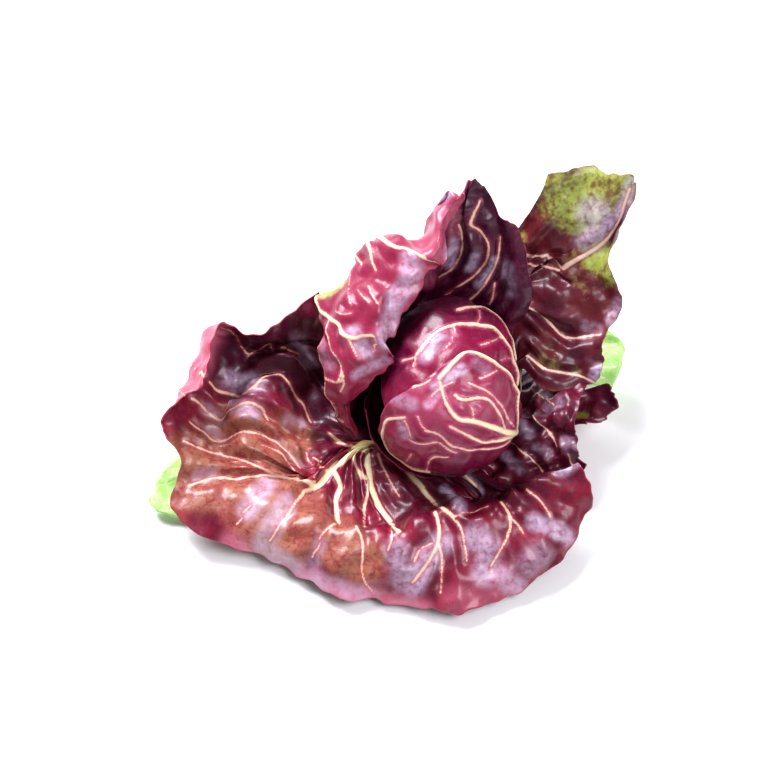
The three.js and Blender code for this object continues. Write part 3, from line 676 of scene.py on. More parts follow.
def leaf_mesh(leaf, thick):
    """The leaf's mesh: one flat closed sheet, its two faces then placed point by point."""
    leaf.lay_out()
    traced = leaf.traced_lines()
    veins = leaf.vein_lines()
    inner_far, inner_back = leaf.beyond(traced + veins if leaf.both_veins else traced)
    under_far, under_back = leaf.beyond(traced + veins)
    pillow = leaf.pillow * (1 - np.exp(-((np.maximum(inner_far, 0) / PILLOW_WIDTH) ** 2)))
    folds = leaf.fine * ripples(leaf.surface, FOLD_LENGTH, leaf.seed)
    folds += FINE_FOLD_SHARE * leaf.fine * ripples(leaf.surface, FINE_FOLD_LENGTH, leaf.seed + 9)
    window = step_between(leaf.reach, *PLEATS_BEGIN) * step_between(leaf.reach, *PLEATS_FADE)
    folds += leaf.pleats * np.sin(PLEATS_ACROSS * leaf.column + PLEATS_ALONG * leaf.row) * window
    rise = (pillow + folds * np.clip(leaf.reach * FOLD_GROWTH, 0, 1))[..., None]
    inner_rib = INNER_RIB_HEIGHT * inner_back[..., None]
    under_rib = UNDER_RIB_HEIGHT * under_back[..., None]
    inner = leaf.surface + leaf.direction * (rise + thick / 2 + inner_rib)
    under = leaf.surface + leaf.direction * (rise - thick / 2 - under_rib)

    sheet = bmesh.new()
    bmesh.ops.create_grid(sheet, x_segments=leaf.column_cells, y_segments=leaf.row_cells, size=1)
    bmesh.ops.solidify(sheet, geom=sheet.faces[:], thickness=0.01)
    flat = np.array([vertex.co[:] for vertex in sheet.verts])
    j = np.rint((flat[:, 0] + 1) / 2 * leaf.column_cells).astype(int)
    i = np.rint((flat[:, 1] + 1) / 2 * leaf.row_cells).astype(int)
    on_top = flat[:, 2] > flat[:, 2].mean()
    is_inner = on_top == leaf.inner_up
    points = np.where(is_inner[:, None], inner[i, j], under[i, j])
    from_margin = np.minimum((1 - leaf.reach) * leaf.last_row * ROW_LENGTH, ROW_LENGTH)
    fields = {
        "beyond_rib": np.where(is_inner, inner_far[i, j], under_far[i, j]),
        "under_side": np.where(is_inner, 0.0, 1.0),
        "reach": leaf.reach[i, j],
        "from_margin": from_margin[i, j],
    }
    for kind in PATCH_KINDS:
        fields[kind] = leaf.patch(kind)[i, j]
    return finished_mesh(leaf.node, sheet, points, fields)


# Colour patches, by what they are: the line they follow on the photograph and how far they reach to
# each side, in its pixels, and how strong they are. The sheen patches are painted highlights: pale lilac
# laid into the colour where the waxy leaves reflect the light. Dark patches paint deep plum, partly the
# leaves' own colour and partly painted shade in hollows and under overhanging leaves.
PATCH_KINDS = ("bronze", "green", "dark", "pink", "painted_sheen")
STROKE_STEP_PX = 4
STROKE_CORE = 0.3
STROKE_END = 1.3
FRONT_PATCHES = {
    "bronze": [
        ([(195, 470), (240, 475), (285, 520)], 52, 1.0), ([(225, 430), (290, 440)], 34, 0.8),
        ([(338, 540), (362, 558)], 32, 0.9),
    ],
    "dark": [
        ([(245, 345), (300, 350), (335, 400)], 56, 1.0), ([(430, 480), (475, 466)], 42, 0.8),
        ([(510, 470), (550, 450)], 40, 0.9),
    ],
    "pink": [
        ([(235, 540), (290, 568), (340, 590), (420, 606)], 15, 1.0), ([(460, 600), (500, 585)], 24, 0.4),
        ([(190, 370), (200, 340), (214, 322)], 20, 0.8),
    ],
    "painted_sheen": [
        ([(265, 542), (315, 572), (372, 594)], 10, 0.7), ([(268, 484), (260, 497), (250, 510)], 12, 1.0),
        ([(286, 506), (276, 522), (267, 538)], 13, 0.8), ([(240, 408), (256, 412)], 10, 0.8),
        ([(229, 380), (240, 385), (254, 384)], 12, 0.9), ([(206, 408), (222, 422)], 7, 0.6),
        ([(210, 432), (222, 438)], 7, 0.5), ([(322, 540), (316, 558)], 8, 0.5),
        ([(396, 545), (402, 576)], 13, 0.6), ([(440, 542), (426, 556), (412, 580)], 14, 0.9),
        ([(474, 536), (486, 548), (484, 570)], 15, 0.9), ([(498, 572), (512, 582)], 14, 0.8),
        ([(532, 521), (548, 526), (562, 533)], 10, 0.9), ([(524, 562), (536, 550)], 14, 0.5),
        ([(444, 490), (452, 498), (461, 508)], 6, 0.9), ([(458, 466), (470, 478), (480, 490)], 6, 0.9),
        ([(561, 468), (576, 456)], 9, 0.8), ([(296, 336), (306, 360)], 9, 0.7),
        ([(286, 420), (300, 424)], 7, 0.6), ([(198, 476), (214, 474)], 8, 0.5),
    ],
}
BACK_PATCHES = {
    "green": [([(322, 292), (342, 281)], 9, 0.8)],
    "dark": [([(480, 200), (470, 250), (505, 290)], 55, 0.9), ([(384, 238), (404, 240)], 12, 1.0)],
    "pink": [([(440, 220), (425, 262)], 24, 0.4)],
    "painted_sheen": [
        ([(443, 197), (454, 187)], 9, 0.8), ([(410, 262), (410, 280), (397, 298)], 13, 0.9),
        ([(396, 300), (390, 322), (383, 342)], 11, 0.9), ([(354, 334), (362, 346), (368, 352)], 10, 0.9),
        ([(357, 376), (371, 368), (384, 362)], 7, 0.8), ([(453, 244), (450, 264)], 7, 0.8),
        ([(474, 258), (470, 268)], 6, 0.7), ([(493, 262), (487, 274), (478, 284)], 6, 0.8),
        ([(508, 270), (512, 290)], 9, 0.35), ([(320, 345), (330, 366)], 7, 0.4),
    ],
}
RIGHT_PATCHES = {
    "green": [
        ([(560, 185), (578, 205), (606, 190)], 36, 0.9), ([(600, 262), (614, 270)], 24, 0.7),
        ([(512, 242), (519, 237)], 8, 0.5), ([(575, 268), (590, 285)], 22, 0.35),
        ([(535, 362), (575, 372)], 10, 0.35),
    ],
    "dark": [([(530, 285), (545, 320), (560, 350)], 40, 0.45), ([(550, 372), (590, 374)], 30, 0.5)],
    "painted_sheen": [
        ([(589, 212), (600, 226), (588, 240)], 17, 0.8), ([(630, 184), (625, 200), (618, 216)], 9, 0.9),
        ([(611, 322), (617, 304)], 8, 0.6), ([(592, 378), (598, 368)], 7, 0.8),
        ([(585, 326), (598, 330)], 7, 0.4),
    ],
}
CRUMPLED_PATCHES = {
    "dark": [([(530, 400), (545, 440)], 60, 0.4)],
    "painted_sheen": [
        ([(522, 368), (530, 382), (546, 395)], 7, 0.9), ([(518, 425), (528, 432)], 8, 0.6),
        ([(548, 408), (558, 404)], 6, 0.6), ([(566, 440), (572, 452)], 8, 0.5),
        ([(508, 456), (520, 468)], 7, 0.5), ([(536, 446), (546, 452)], 6, 0.5),
    ],
}
SMALL_PATCHES = {
    "green": [([(577, 418), (584, 416)], 6, 0.4)],
    "dark": [([(575, 400), (600, 395)], 30, 0.6)],
}
UNDER_RIGHT_PATCHES = {
    # Painted shade: deep plum over the leaf's foot beside the heart, where it lies in shade.
    "dark": [([(500, 395), (545, 385)], 40, 1.0)],
}
HEART_RIGHT_PATCHES = {
    "dark": [([(440, 468), (480, 458)], 20, 0.5)],
    "pink": [([(420, 400), (450, 410), (480, 400)], 26, 0.3)],
    "painted_sheen": [
        ([(436, 387), (446, 378), (459, 370)], 7, 1.0), ([(428, 404), (436, 394)], 6, 0.6),
        ([(398, 398), (412, 404)], 8, 0.6), ([(402, 420), (406, 434)], 5, 0.6),
        ([(474, 364), (484, 370)], 7, 0.4),
    ],
}
HEART_BACK_PATCHES = {
    # Painted shadow: deep plum across the top of the heart, where the rolled side of the leaf behind
    # overhangs it.
    "dark": [([(385, 360), (400, 325), (440, 300), (480, 302)], 30, 0.85)],
    "painted_sheen": [([(424, 358), (440, 338)], 9, 0.6)],
}

OUTER_LEAVES = [
    Leaf("leaf_front", with_foot(FRONT_ROWS, -48, -198, 6.5, FRONT_LEAF_GAP),
         [0, 0.6, 0.5, 0.6, 0.9, 1, 0.7, 0.9, 1.3, 1.1, 0.6, 0.9, 0.8, 0.8, 0.7, 0.5, 0], FRONT_RIBS_PX,
         patches=FRONT_PATCHES, puff=3, wave=2.5, teeth=0.05, pillow=2.4, fine=0.6, pleats=0.8,
         vein_rows=(0.0, 0.85), across=25, along=20, seed=3),
    Leaf("leaf_back", with_foot(BACK_ROWS, 184, 62, 9.4),
         [0, 0.5, 0.8, 1, 0.7, 0.8, 1, 0.5, 0.4, 0.5, 0.8, 0.9, 0.9, 0.7, 0.5, 0],
         INNER_RIBS_PX + FLAP_RIBS_PX, patches=BACK_PATCHES, puff=2.4, wave=2.2, teeth=0.05, pillow=2,
         fine=0.6, vein_rows=(0.0, 0.6), across=24, along=20, seed=5),
    Leaf("leaf_right", with_foot(RIGHT_ROWS, 58, 20, 8), [0, 0.6, 0.3, 1.1, 0.5, 0.4, 0.9, 0.5, 0.9, 0],
         RIGHT_RIBS_PX, patches=RIGHT_PATCHES, puff=2.6, wave=2.4, teeth=0.04, pillow=2, fine=0.6,
         across=26, along=24, seed=7),
    Leaf("leaf_crumpled", with_foot(CRUMPLED_ROWS, 8, -40, 6.4), [0, 0.6, 0.8, 0.9, 0.7, 0],
         CRUMPLED_RIBS_PX, patches=CRUMPLED_PATCHES, puff=2, wave=2, crinkle=1.6, teeth=0.08, pillow=1.0,
         fine=1.1, pleats=0.6, across=26, along=24, seed=11),
    Leaf("leaf_right_small", with_foot(SMALL_ROWS, 20, 8, 4.6), [0, 0.9, 0.7, 0], patches=SMALL_PATCHES,
         puff=1.2, wave=1.6, teeth=0.05, pillow=1.0, fine=0.8, across=24, along=20, seed=13),
    Leaf("leaf_under_right", with_foot(UNDER_RIGHT_ROWS, 50, 30, 2.6), [0, 1, 0.8, 0],
         patches=UNDER_RIGHT_PATCHES, puff=0.8, wave=0.8, teeth=0.01, pillow=0.6, both_veins=True,
         across=22, along=22, seed=17),
    Leaf("leaf_under_left", with_foot(UNDER_LEFT_ROWS, 202, 180, 2.6), [0, 1, 0.8, 0], puff=0.5, wave=0.6,
         teeth=0.01, pillow=0.6, both_veins=True, across=22, along=26, seed=19),
]
HEART_LEAVES = [
    Leaf("heart_leaf_right", WRAP_RIGHT_ROWS, [0, 0.9, 1, 0.6, 0], WRAP_RIGHT_RIBS_PX + WRAP_LEFT_RIBS_PX,
         patches=HEART_RIGHT_PATCHES, place=from_heart, puff=0.3, wave=0, teeth=0, pillow=-1.2, fine=0.35,
         vein_nearness=30, across=36, along=24, seed=23),
    Leaf("heart_leaf_left", WRAP_LEFT_ROWS, [0, 0.5, 1, 0], place=from_heart, puff=0.3, wave=0, teeth=0,
         pillow=-0.9, fine=0.25, vein_nearness=34, across=44, along=28, seed=29),
    Leaf("heart_leaf_back", WRAP_BACK_ROWS, [0, 1, 0.8, 0], WRAP_BACK_RIBS_PX, patches=HEART_BACK_PATCHES,
         place=from_heart, inner_up=False, puff=0.3, wave=0, teeth=0, pillow=-1.2, fine=0.35,
         vein_nearness=26, across=44, along=28, seed=31),
]


class Wire:
    """A value in a material, with arithmetic: each operation adds one node."""

    def __init__(self, paint, socket):
        self.paint = paint
        self.socket = socket

    def _math(self, operation, first, second):
        node = self.paint.tree.nodes.new("ShaderNodeMath")
        node.operation = operation
        for place, value in enumerate((first, second)):
            self.paint.feed(node.inputs[place], value)
        return Wire(self.paint, node.outputs[0])

    def __add__(self, other):
        return self._math("ADD", self, other)

    def __radd__(self, other):
        return self._math("ADD", other, self)

    def __sub__(self, other):
        return self._math("SUBTRACT", self, other)

    def __rsub__(self, other):
        return self._math("SUBTRACT", other, self)

    def __mul__(self, other):
        return self._math("MULTIPLY", self, other)

    def largest(self, other):
        return self._math("MAXIMUM", self, other)

    def ramp(self, low, high):
        """0 below low and 1 above high, with a smooth step between; low may be the larger."""
        rising = low < high
        node = self.paint.node("ShaderNodeMapRange", {"interpolation_type": "SMOOTHSTEP", "clamp": True}, {
            "Value": self, "From Min": min(low, high), "From Max": max(low, high),
            "To Min": 0.0 if rising else 1.0, "To Max": 1.0 if rising else 0.0})
        return Wire(self.paint, node.outputs["Result"])


class Paint:
    """A material under construction."""

    def __init__(self, name):
        self.material = bpy.data.materials.new(name)
        self.material.use_nodes = True
        self.tree = self.material.node_tree
        self.tree.nodes.clear()
        texture = self.tree.nodes.new("ShaderNodeTexCoord")
        self.position = Wire(self, texture.outputs["Object"])

    def feed(self, socket, value):
        if isinstance(value, Wire):
            self.tree.links.new(value.socket, socket)
        else:
            socket.default_value = value

    def node(self, kind, settings, values):
        made = self.tree.nodes.new(kind)
        for name, setting in settings.items():
            setattr(made, name, setting)
        for name, value in values.items():
            self.feed(made.inputs[name], value)
        return made

    def field(self, name):
        made = self.node("ShaderNodeAttribute", {"attribute_name": name, "attribute_type": "GEOMETRY"}, {})
        return Wire(self, made.outputs["Fac"])

    def noise(self, size_mm, detail):
        made = self.node("ShaderNodeTexNoise", {}, {
            "Vector": self.position, "Scale": 1 / (size_mm * MM), "Detail": detail, "Distortion": 0.0,
            "Roughness": 0.55})
        return Wire(self, made.outputs["Fac"])

    def cells(self, size_mm, bend_mm):
        """Distance from the walls between random cells: a net of fine veins, bent by a noise."""
        noise = self.node("ShaderNodeTexNoise", {}, {
            "Vector": self.position, "Scale": 0.6 / (size_mm * MM), "Detail": 2.0})
        shift = self.node("ShaderNodeVectorMath", {"operation": "SCALE"}, {
            "Vector": Wire(self, noise.outputs["Color"]), "Scale": bend_mm * MM})
        moved = self.node("ShaderNodeVectorMath", {"operation": "ADD"}, {
            0: self.position, 1: Wire(self, shift.outputs["Vector"])})
        made = self.node("ShaderNodeTexVoronoi", {"feature": "DISTANCE_TO_EDGE"}, {
            "Vector": Wire(self, moved.outputs["Vector"]), "Scale": 1 / (size_mm * MM)})
        return Wire(self, made.outputs["Distance"])

    def mixed(self, amount, first, second):
        made = self.tree.nodes.new("ShaderNodeMix")
        made.data_type = "RGBA"
        self.feed(made.inputs["Factor"], amount)
        colours = [socket for socket in made.inputs if socket.type == "RGBA"]
        for socket, colour in zip(colours, (first, second)):
            self.feed(socket, colour)
        output = next(socket for socket in made.outputs if socket.type == "RGBA")
        return Wire(self, output)

    def bump(self, height, strength, distance_mm):
        made = self.node("ShaderNodeBump", {}, {
            "Strength": strength, "Distance": distance_mm * MM, "Height": height})
        return Wire(self, made.outputs["Normal"])

    def finish(self, values):
        shader = self.node("ShaderNodeBsdfPrincipled", {}, values)
        output = self.tree.nodes.new("ShaderNodeOutputMaterial")
        self.tree.links.new(shader.outputs[0], output.inputs["Surface"])
        return self.material


def rgb(red, green, blue):
    """A colour given as it looks on a screen, 0 to 255."""
    def linear(value):
        value /= 255
        return value / 12.92 if value <= 0.04045 else ((value + 0.055) / 1.055) ** 2.4
    return (linear(red), linear(green), linear(blue), 1.0)


CREAM = rgb(228, 220, 178)
GREEN_BLADE = rgb(158, 172, 82)
PALE_GREEN = rgb(160, 222, 110)
OLIVE = rgb(112, 92, 50)
BRONZE = rgb(160, 104, 82)
BRONZE_SHADE = rgb(138, 54, 56)
BRONZE_NET = rgb(84, 30, 32)
DEEP_PLUM = rgb(54, 8, 38)
ROSE = rgb(198, 106, 130)
PAINTED_SHEEN_LILAC = rgb(204, 186, 212)
PEACH = rgb(210, 154, 142)
LIGHT_GREEN = rgb(190, 232, 150)
GREEN_NET = rgb(205, 235, 175)
GREEN_RIB = rgb(225, 238, 200)
CUT_STEM = rgb(232, 222, 196)
CUT_STEM_SHADE = rgb(214, 198, 160)
CUT_STEM_BROWN = rgb(168, 122, 84)


def leaf_paint(name, inner, inner_light, under, halo, rib=CREAM, feather_mm=2.2, roughness=0.34,
               under_dark=0.0):
    """A radicchio leaf: coloured blade, cream ribs that feather into it, and a net of fine veins.

    inner and inner_light are the inner side's colours, under is the other side's, and halo is the paler
    colour beside ribs and at the margin.
    """
    paint = Paint(name)
    beyond = paint.field("beyond_rib")
    under_side = paint.field("under_side")
    reach = paint.field("reach")
    margin = paint.field("from_margin")
    cloud = paint.noise(16, 3.0)
    mottle = paint.noise(3.2, 4.0)
    grain = paint.noise(0.9, 2.0)
    net = paint.cells(6.5, 7.0)
    small_net = paint.cells(2.2, 2.5)

    colour = paint.mixed(cloud.ramp(0.38, 0.68), inner, inner_light)
    colour = paint.mixed(under_side * 0.9, colour, under)
    # Dark patches: deep plum, partly the leaves' own colour and partly painted shade in hollows and under
    # overhanging leaves. shaded keeps them to the inner face unless under_dark is set.
    shaded = 1.0 - under_side * (1.0 - under_dark)
    colour = paint.mixed(paint.field("dark") * shaded * 0.85, colour, DEEP_PLUM)
    colour = paint.mixed(paint.field("pink"), colour, ROSE)
    bronze = (paint.field("bronze") + (cloud - 0.5) * 0.9 + (mottle - 0.5) * 0.3).ramp(0.2, 0.85)
    shade = (cloud * 0.6 + mottle * 0.4).ramp(0.44, 0.6) * 0.75
    bronze_blade = paint.mixed(shade, BRONZE, BRONZE_SHADE)
    dark_net = net.ramp(0.08, 0.0) * mottle.ramp(0.35, 0.6) * 0.6
    bronze_blade = paint.mixed(dark_net, bronze_blade, BRONZE_NET)
    colour = paint.mixed(bronze, colour, bronze_blade)
    green = (paint.field("green") + (mottle - 0.5) * 0.7 + (cloud - 0.5) * 1.1).ramp(0.15, 0.85)
    green_blade = paint.mixed((mottle + cloud - 1.0).ramp(-0.2, 0.15), OLIVE, GREEN_BLADE)
    colour = paint.mixed(green, colour, green_blade)
    colour = paint.mixed(mottle.ramp(0.4, 0.75) * 0.2, colour, inner_light)
    colour = paint.mixed(grain.ramp(0.5, 0.75) * 0.3, colour, DEEP_PLUM)
    # Painted sheen: pale lilac highlights laid into the colour, broken up by the mottle and grain.
    painted_sheen = paint.field("painted_sheen") * (mottle.ramp(0.15, 0.65) * 0.8 + grain * 0.2)
    colour = paint.mixed(painted_sheen * 0.75, colour, PAINTED_SHEEN_LILAC)
    colour = paint.mixed(net.ramp(0.04, 0.0) * 0.12, colour, halo)
    feather = (beyond + (mottle - 0.5) * 2.4).ramp(feather_mm, 0.0)
    colour = paint.mixed(feather * 0.45, colour, halo)
    ribbed = (beyond + (grain - 0.5) * 0.9 + (mottle - 0.5) * 0.8).ramp(0.35, -0.15)
    base = (reach + (mottle - 0.5) * 0.06).ramp(0.16, 0.03)
    rib_colour = paint.mixed(beyond.ramp(-0.8, -0.1) * 0.7, rib, PEACH)
    colour = paint.mixed(ribbed.largest(base), colour, rib_colour)
    # A thin paler line along the margin: a painted edge highlight.
    colour = paint.mixed(margin.ramp(1.2, 0.3) * 0.45, colour, halo)

    height = net.ramp(0.0, 0.2) * 0.4 + small_net.ramp(0.0, 0.25) * 0.15
    height = height + mottle * 0.4 + grain * 0.1
    return paint.finish({
        "Base Color": colour,
        "Roughness": roughness + mottle * 0.16,
        "Coat Weight": 0.3 - ribbed * 0.15,
        "Coat Roughness": 0.2,
        "Specular IOR Level": 0.4,
        "Normal": paint.bump(height, 0.22, 0.5),
    })


def plain_green_paint(name, colour):
    paint = Paint(name)
    beyond = paint.field("beyond_rib")
    mottle = paint.noise(4, 3.0)
    net = paint.cells(5, 3.0)
    colour = paint.mixed(mottle.ramp(0.3, 0.7), colour, LIGHT_GREEN)
    colour = paint.mixed(net.ramp(0.06, 0.0) * 0.5, colour, GREEN_NET)
    colour = paint.mixed(beyond.ramp(0.4, -0.2), colour, GREEN_RIB)
    # Dark patches: painted shade in deep plum, near the leaf's foot beside the heart.
    colour = paint.mixed(paint.field("dark"), colour, DEEP_PLUM)
    return paint.finish({
        "Base Color": colour, "Roughness": 0.45 + mottle * 0.1,
        "Normal": paint.bump(net.ramp(0.0, 0.2), 0.3, 0.4)})


def stem_paint():
    paint = Paint("cut stem")
    mottle = paint.noise(2, 4.0)
    brown = paint.noise(7, 3.0).ramp(0.5, 0.75) * 0.5
    colour = paint.mixed(mottle.ramp(0.3, 0.7), CUT_STEM, CUT_STEM_SHADE)
    colour = paint.mixed(brown, colour, CUT_STEM_BROWN)
    return paint.finish({
        "Base Color": colour, "Roughness": 0.6, "Normal": paint.bump(mottle, 0.3, 0.3)})


def add_piece(name, mesh, material, node):
    piece = bpy.data.objects.new(name, mesh)
    bpy.context.scene.collection.objects.link(piece)
    mesh.materials.append(material)
    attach(piece, BODY)
    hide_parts(node)
    return piece


def build_leaves(leaves, dress, thick):
    for leaf in leaves:
        paint, slot = dress[leaf.node]
        add_piece(leaf.node + "_blade", leaf_mesh(leaf, thick), paint, leaf.node)


def core_mesh(settings):
    """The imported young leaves: an egg with folds that wind round it, cut level above the stem."""
    ball = bmesh.new()
    bmesh.ops.create_uvsphere(ball, u_segments=160, v_segments=100, radius=1)
    flat = np.array([vertex.co[:] for vertex in ball.verts])
    bearing = np.arctan2(flat[:, 1], flat[:, 0])
    girth = np.hypot(flat[:, 0], flat[:, 1])
    winding = CORE_FOLDS * bearing + CORE_TWIST * flat[:, 2]
    fold = settings.fold_depth / MM * np.abs(np.sin(winding)) * girth
    rise = flat[:, 1] * DRAWN_SIN + flat[:, 2] * DRAWN_COS
    towards = flat[:, 2] * DRAWN_SIN - flat[:, 1] * DRAWN_COS
    points = on_egg(flat[:, 0], rise, towards, -CORE_INSET - fold)
    points[:, 2] = np.maximum(points[:, 2], HEART_FOOT)
    everywhere = {"beyond_rib": 8.0, "under_side": 1.0, "reach": 0.6, "from_margin": 8.0}
    fields = {kind: np.full(len(points), value) for kind, value in everywhere.items()}
    return finished_mesh("heart_core", ball, points, fields)


def colour_setting(name, description, colour):
    return bpy.props.FloatVectorProperty(
        name=name, description=description, subtype="COLOR", size=4, min=0, max=1, default=colour)


def length_setting(name, description, default, **limits):
    return bpy.props.FloatProperty(
        name=name, description=description, default=default, unit="LENGTH", subtype="DISTANCE", **limits)


# The stage, in metres, and the camera's sensor in mm.
FLOOR_HALF_SIDE = 3
FLOOR_WHITE = (0.9, 0.9, 0.9, 1)
KEY_PLACE = (-0.55, 0.7, 1.1)
FILL_PLACE = (0.7, -0.5, 1.2)
LIGHT_SIDE = 0.7
COOL_WHITE = (0.94, 0.94, 1.0)
SENSOR_WIDTH = 36


class LeafSettings(bpy.types.PropertyGroup):
    thickness: length_setting(
        "Blade thickness", "Thickness of a leaf between its ribs", 0.8 * MM, min=0.2 * MM, max=2 * MM)
    rib_colour: colour_setting("Ribs", "Colour of the thick ribs", CREAM)
    plum: colour_setting("Front leaf", "Colour of the big front leaf", rgb(96, 10, 40))
    rolled: colour_setting("Rolled leaf", "Inner colour of the tall leaf behind", rgb(70, 8, 42))
    bronze: colour_setting("Bronze leaf", "Colour of the bronze leaf at the right", rgb(82, 16, 34))
    dark: colour_setting("Dark leaves", "Colour of the crumpled and the small leaf", rgb(80, 8, 38))
    green: colour_setting("Green leaves", "Colour of the two lowest leaves", PALE_GREEN)


class HeartSettings(bpy.types.PropertyGroup):
    crimson: colour_setting("Heart", "Colour of the outside of the heart's leaves", rgb(122, 6, 56))
    fold_depth: length_setting("Fold depth", "Depth of the folds on the packed core", 1.6 * MM)


class StageSettings(bpy.types.PropertyGroup):
    distance: length_setting("Camera distance", "From the camera to the middle of the picture", 5.0)
    key_power: bpy.props.FloatProperty(
        name="Key light", description="Power of the large light behind the head, in watts", default=34.0)
    fill_power: bpy.props.FloatProperty(
        name="Fill light", description="Power of the light at the right, in watts", default=14.0)
    sky: bpy.props.FloatProperty(
        name="Sky", description="Brightness of the even light from all sides", default=0.3)


class RADICCHIO_OT_outer_leaves(bpy.types.Operator):
    """Build the large waved leaves round the heart"""
    bl_idname = "radicchio.outer_leaves"
    bl_label = "Build outer leaves"

    def execute(self, context):
        settings = context.scene.radicchio_leaf
        rib = tuple(settings.rib_colour)
        plum = leaf_paint("plum leaf", inner=tuple(settings.plum), inner_light=rgb(130, 22, 52),
                          under=rgb(150, 50, 78), halo=rgb(176, 66, 88), rib=rib)
        back = leaf_paint("leaf with rolled side", inner=tuple(settings.rolled),
                          inner_light=rgb(104, 14, 54), under=rgb(142, 34, 68), halo=rgb(176, 66, 96),
                          rib=rib)
        bronze = leaf_paint("bronze leaf", inner=tuple(settings.bronze), inner_light=rgb(108, 36, 40),
                            under=rgb(120, 96, 60), halo=rgb(130, 66, 68), rib=rgb(218, 194, 180),
                            roughness=0.36)
        dark = leaf_paint("dark leaf", inner=tuple(settings.dark), inner_light=rgb(118, 14, 52),
                          under=rgb(90, 20, 42), halo=rgb(130, 46, 66), rib=rib)
        green = plain_green_paint("green leaf", tuple(settings.green))
        dress = {
            "leaf_front": (plum, "outer_leaf"),
            "leaf_back": (back, "outer_leaf"),
            "leaf_right": (bronze, "bronze_leaf"),
            "leaf_crumpled": (dark, "dark_leaf"),
            "leaf_right_small": (dark, "dark_leaf"),
            "leaf_under_right": (green, "green_leaf"),
            "leaf_under_left": (green, "green_leaf"),
        }
        build_leaves(OUTER_LEAVES, dress, settings.thickness / MM)
        return {"FINISHED"}


class RADICCHIO_OT_heart(bpy.types.Operator):
    """Build the rolled heart and paint the cut stem"""
    bl_idname = "radicchio.heart"
    bl_label = "Build heart and stem"

    def execute(self, context):
        settings = context.scene.radicchio_heart
        leaf = context.scene.radicchio_leaf
        crimson = leaf_paint("heart leaf", inner=rgb(110, 6, 50), inner_light=rgb(150, 14, 72),
                             under=tuple(settings.crimson), halo=rgb(196, 84, 124),
                             rib=tuple(leaf.rib_colour), under_dark=1.0)
        inside = leaf_paint("heart inside", inner=rgb(90, 6, 50), inner_light=rgb(120, 12, 62),
                            under=rgb(100, 8, 54), halo=rgb(170, 70, 110))
        dress = {blade.node: (crimson, "heart_leaf") for blade in HEART_LEAVES}
        build_leaves(HEART_LEAVES, dress, leaf.thickness / MM)
        add_piece("heart_core_folds", core_mesh(settings), inside, "heart_core")
        for part in bpy.data.objects:
            if part.type == "MESH" and part.name.startswith("stem"):
                part.data.materials.clear()
                part.data.materials.append(stem_paint())
        return {"FINISHED"}


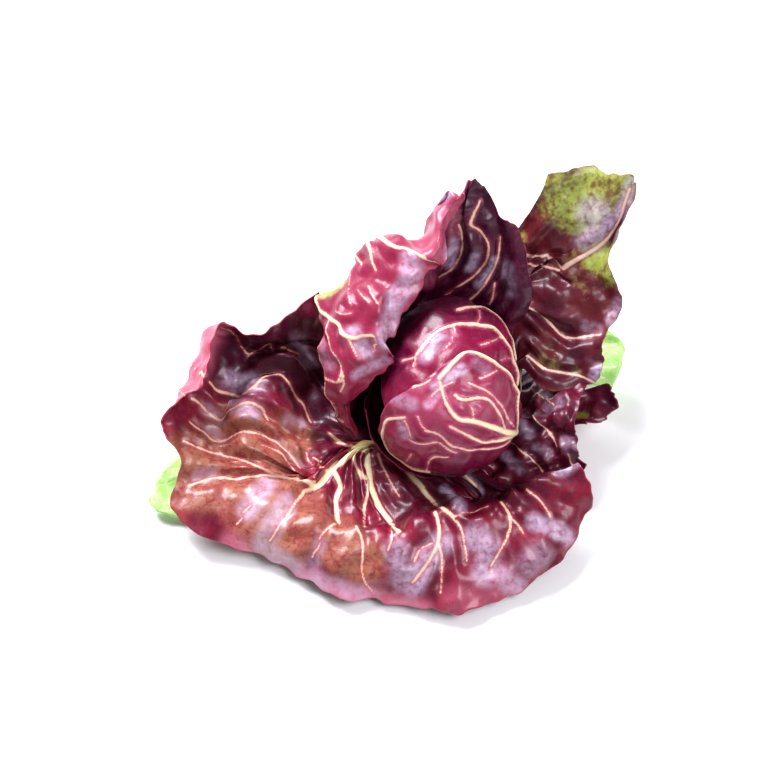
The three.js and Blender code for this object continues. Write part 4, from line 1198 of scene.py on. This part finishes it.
class RADICCHIO_OT_stage(bpy.types.Operator):
    """Set up the floor, the soft lights and the camera"""
    bl_idname = "radicchio.stage"
    bl_label = "Set the stage"

    def execute(self, context):
        settings = context.scene.radicchio_stage
        floor_sheet = bmesh.new()
        bmesh.ops.create_grid(floor_sheet, x_segments=1, y_segments=1, size=FLOOR_HALF_SIDE)
        mesh = bpy.data.meshes.new("floor")
        floor_sheet.to_mesh(mesh)
        floor_sheet.free()
        floor = bpy.data.objects.new("floor", mesh)
        context.scene.collection.objects.link(floor)
        paint = Paint("pale floor")
        mesh.materials.append(paint.finish({"Base Color": FLOOR_WHITE, "Roughness": 0.9}))

        world = bpy.data.worlds.new("studio")
        context.scene.world = world
        world.use_nodes = True
        background = world.node_tree.nodes["Background"]
        background.inputs["Color"].default_value = (1, 1, 1, 1)
        background.inputs["Strength"].default_value = settings.sky

        lights = (("key", KEY_PLACE, settings.key_power), ("fill", FILL_PLACE, settings.fill_power))
        for name, place, power in lights:
            data = bpy.data.lights.new(name, "AREA")
            data.shape = "SQUARE"
            data.size = LIGHT_SIDE
            data.energy = power
            data.color = COOL_WHITE
            light = bpy.data.objects.new(name, data)
            light.location = place
            light.rotation_euler = (-Vector(place)).to_track_quat("-Z", "Y").to_euler()
            context.scene.collection.objects.link(light)

        # The picture's centre lies on the level of the floor at this point of the drawing.
        right = (PHOTO_CENTRE_PX[0] - PHOTO_STEM_PX[0]) * MM_PER_PX
        up = (PHOTO_STEM_PX[1] - PHOTO_CENTRE_PX[1]) * MM_PER_PX
        target = Vector((right, up / DRAWN_SIN, 0)) * MM
        towards = Vector((0, -DRAWN_COS, DRAWN_SIN))
        data = bpy.data.cameras.new("camera")
        data.sensor_width = SENSOR_WIDTH
        data.lens = SENSOR_WIDTH * settings.distance / (PHOTO_WIDTH_PX * MM_PER_PX * MM)
        data.clip_end = 50
        camera = bpy.data.objects.new("camera", data)
        camera.location = target + towards * settings.distance
        camera.rotation_euler = towards.to_track_quat("Z", "Y").to_euler()
        context.scene.collection.objects.link(camera)
        context.scene.camera = camera
        context.scene.view_settings.view_transform = "Standard"
        context.scene.view_settings.look = "Medium High Contrast"
        return {"FINISHED"}


class RADICCHIO_PT_panel(bpy.types.Panel):
    bl_label = "Radicchio head"
    bl_space_type = "VIEW_3D"
    bl_region_type = "UI"
    bl_category = "Radicchio"

    def draw(self, context):
        layout = self.layout
        scene = context.scene
        groups = (
            (scene.radicchio_leaf, "radicchio.outer_leaves"),
            (scene.radicchio_heart, "radicchio.heart"),
            (scene.radicchio_stage, "radicchio.stage"),
        )
        for settings, operator in groups:
            for name in settings.__annotations__:
                layout.prop(settings, name)
            layout.operator(operator)


CLASSES = (LeafSettings, HeartSettings, StageSettings, RADICCHIO_OT_outer_leaves, RADICCHIO_OT_heart,
           RADICCHIO_OT_stage, RADICCHIO_PT_panel)


def register():
    for kind in CLASSES:
        bpy.utils.register_class(kind)
    bpy.types.Scene.radicchio_leaf = bpy.props.PointerProperty(type=LeafSettings)
    bpy.types.Scene.radicchio_heart = bpy.props.PointerProperty(type=HeartSettings)
    bpy.types.Scene.radicchio_stage = bpy.props.PointerProperty(type=StageSettings)


def unregister():
    del bpy.types.Scene.radicchio_stage
    del bpy.types.Scene.radicchio_heart
    del bpy.types.Scene.radicchio_leaf
    for kind in reversed(CLASSES):
        bpy.utils.unregister_class(kind)


def main():
    register()
    bpy.ops.radicchio.outer_leaves()
    bpy.ops.radicchio.heart()
    bpy.ops.radicchio.stage()


if __name__ == "__main__":
    main()
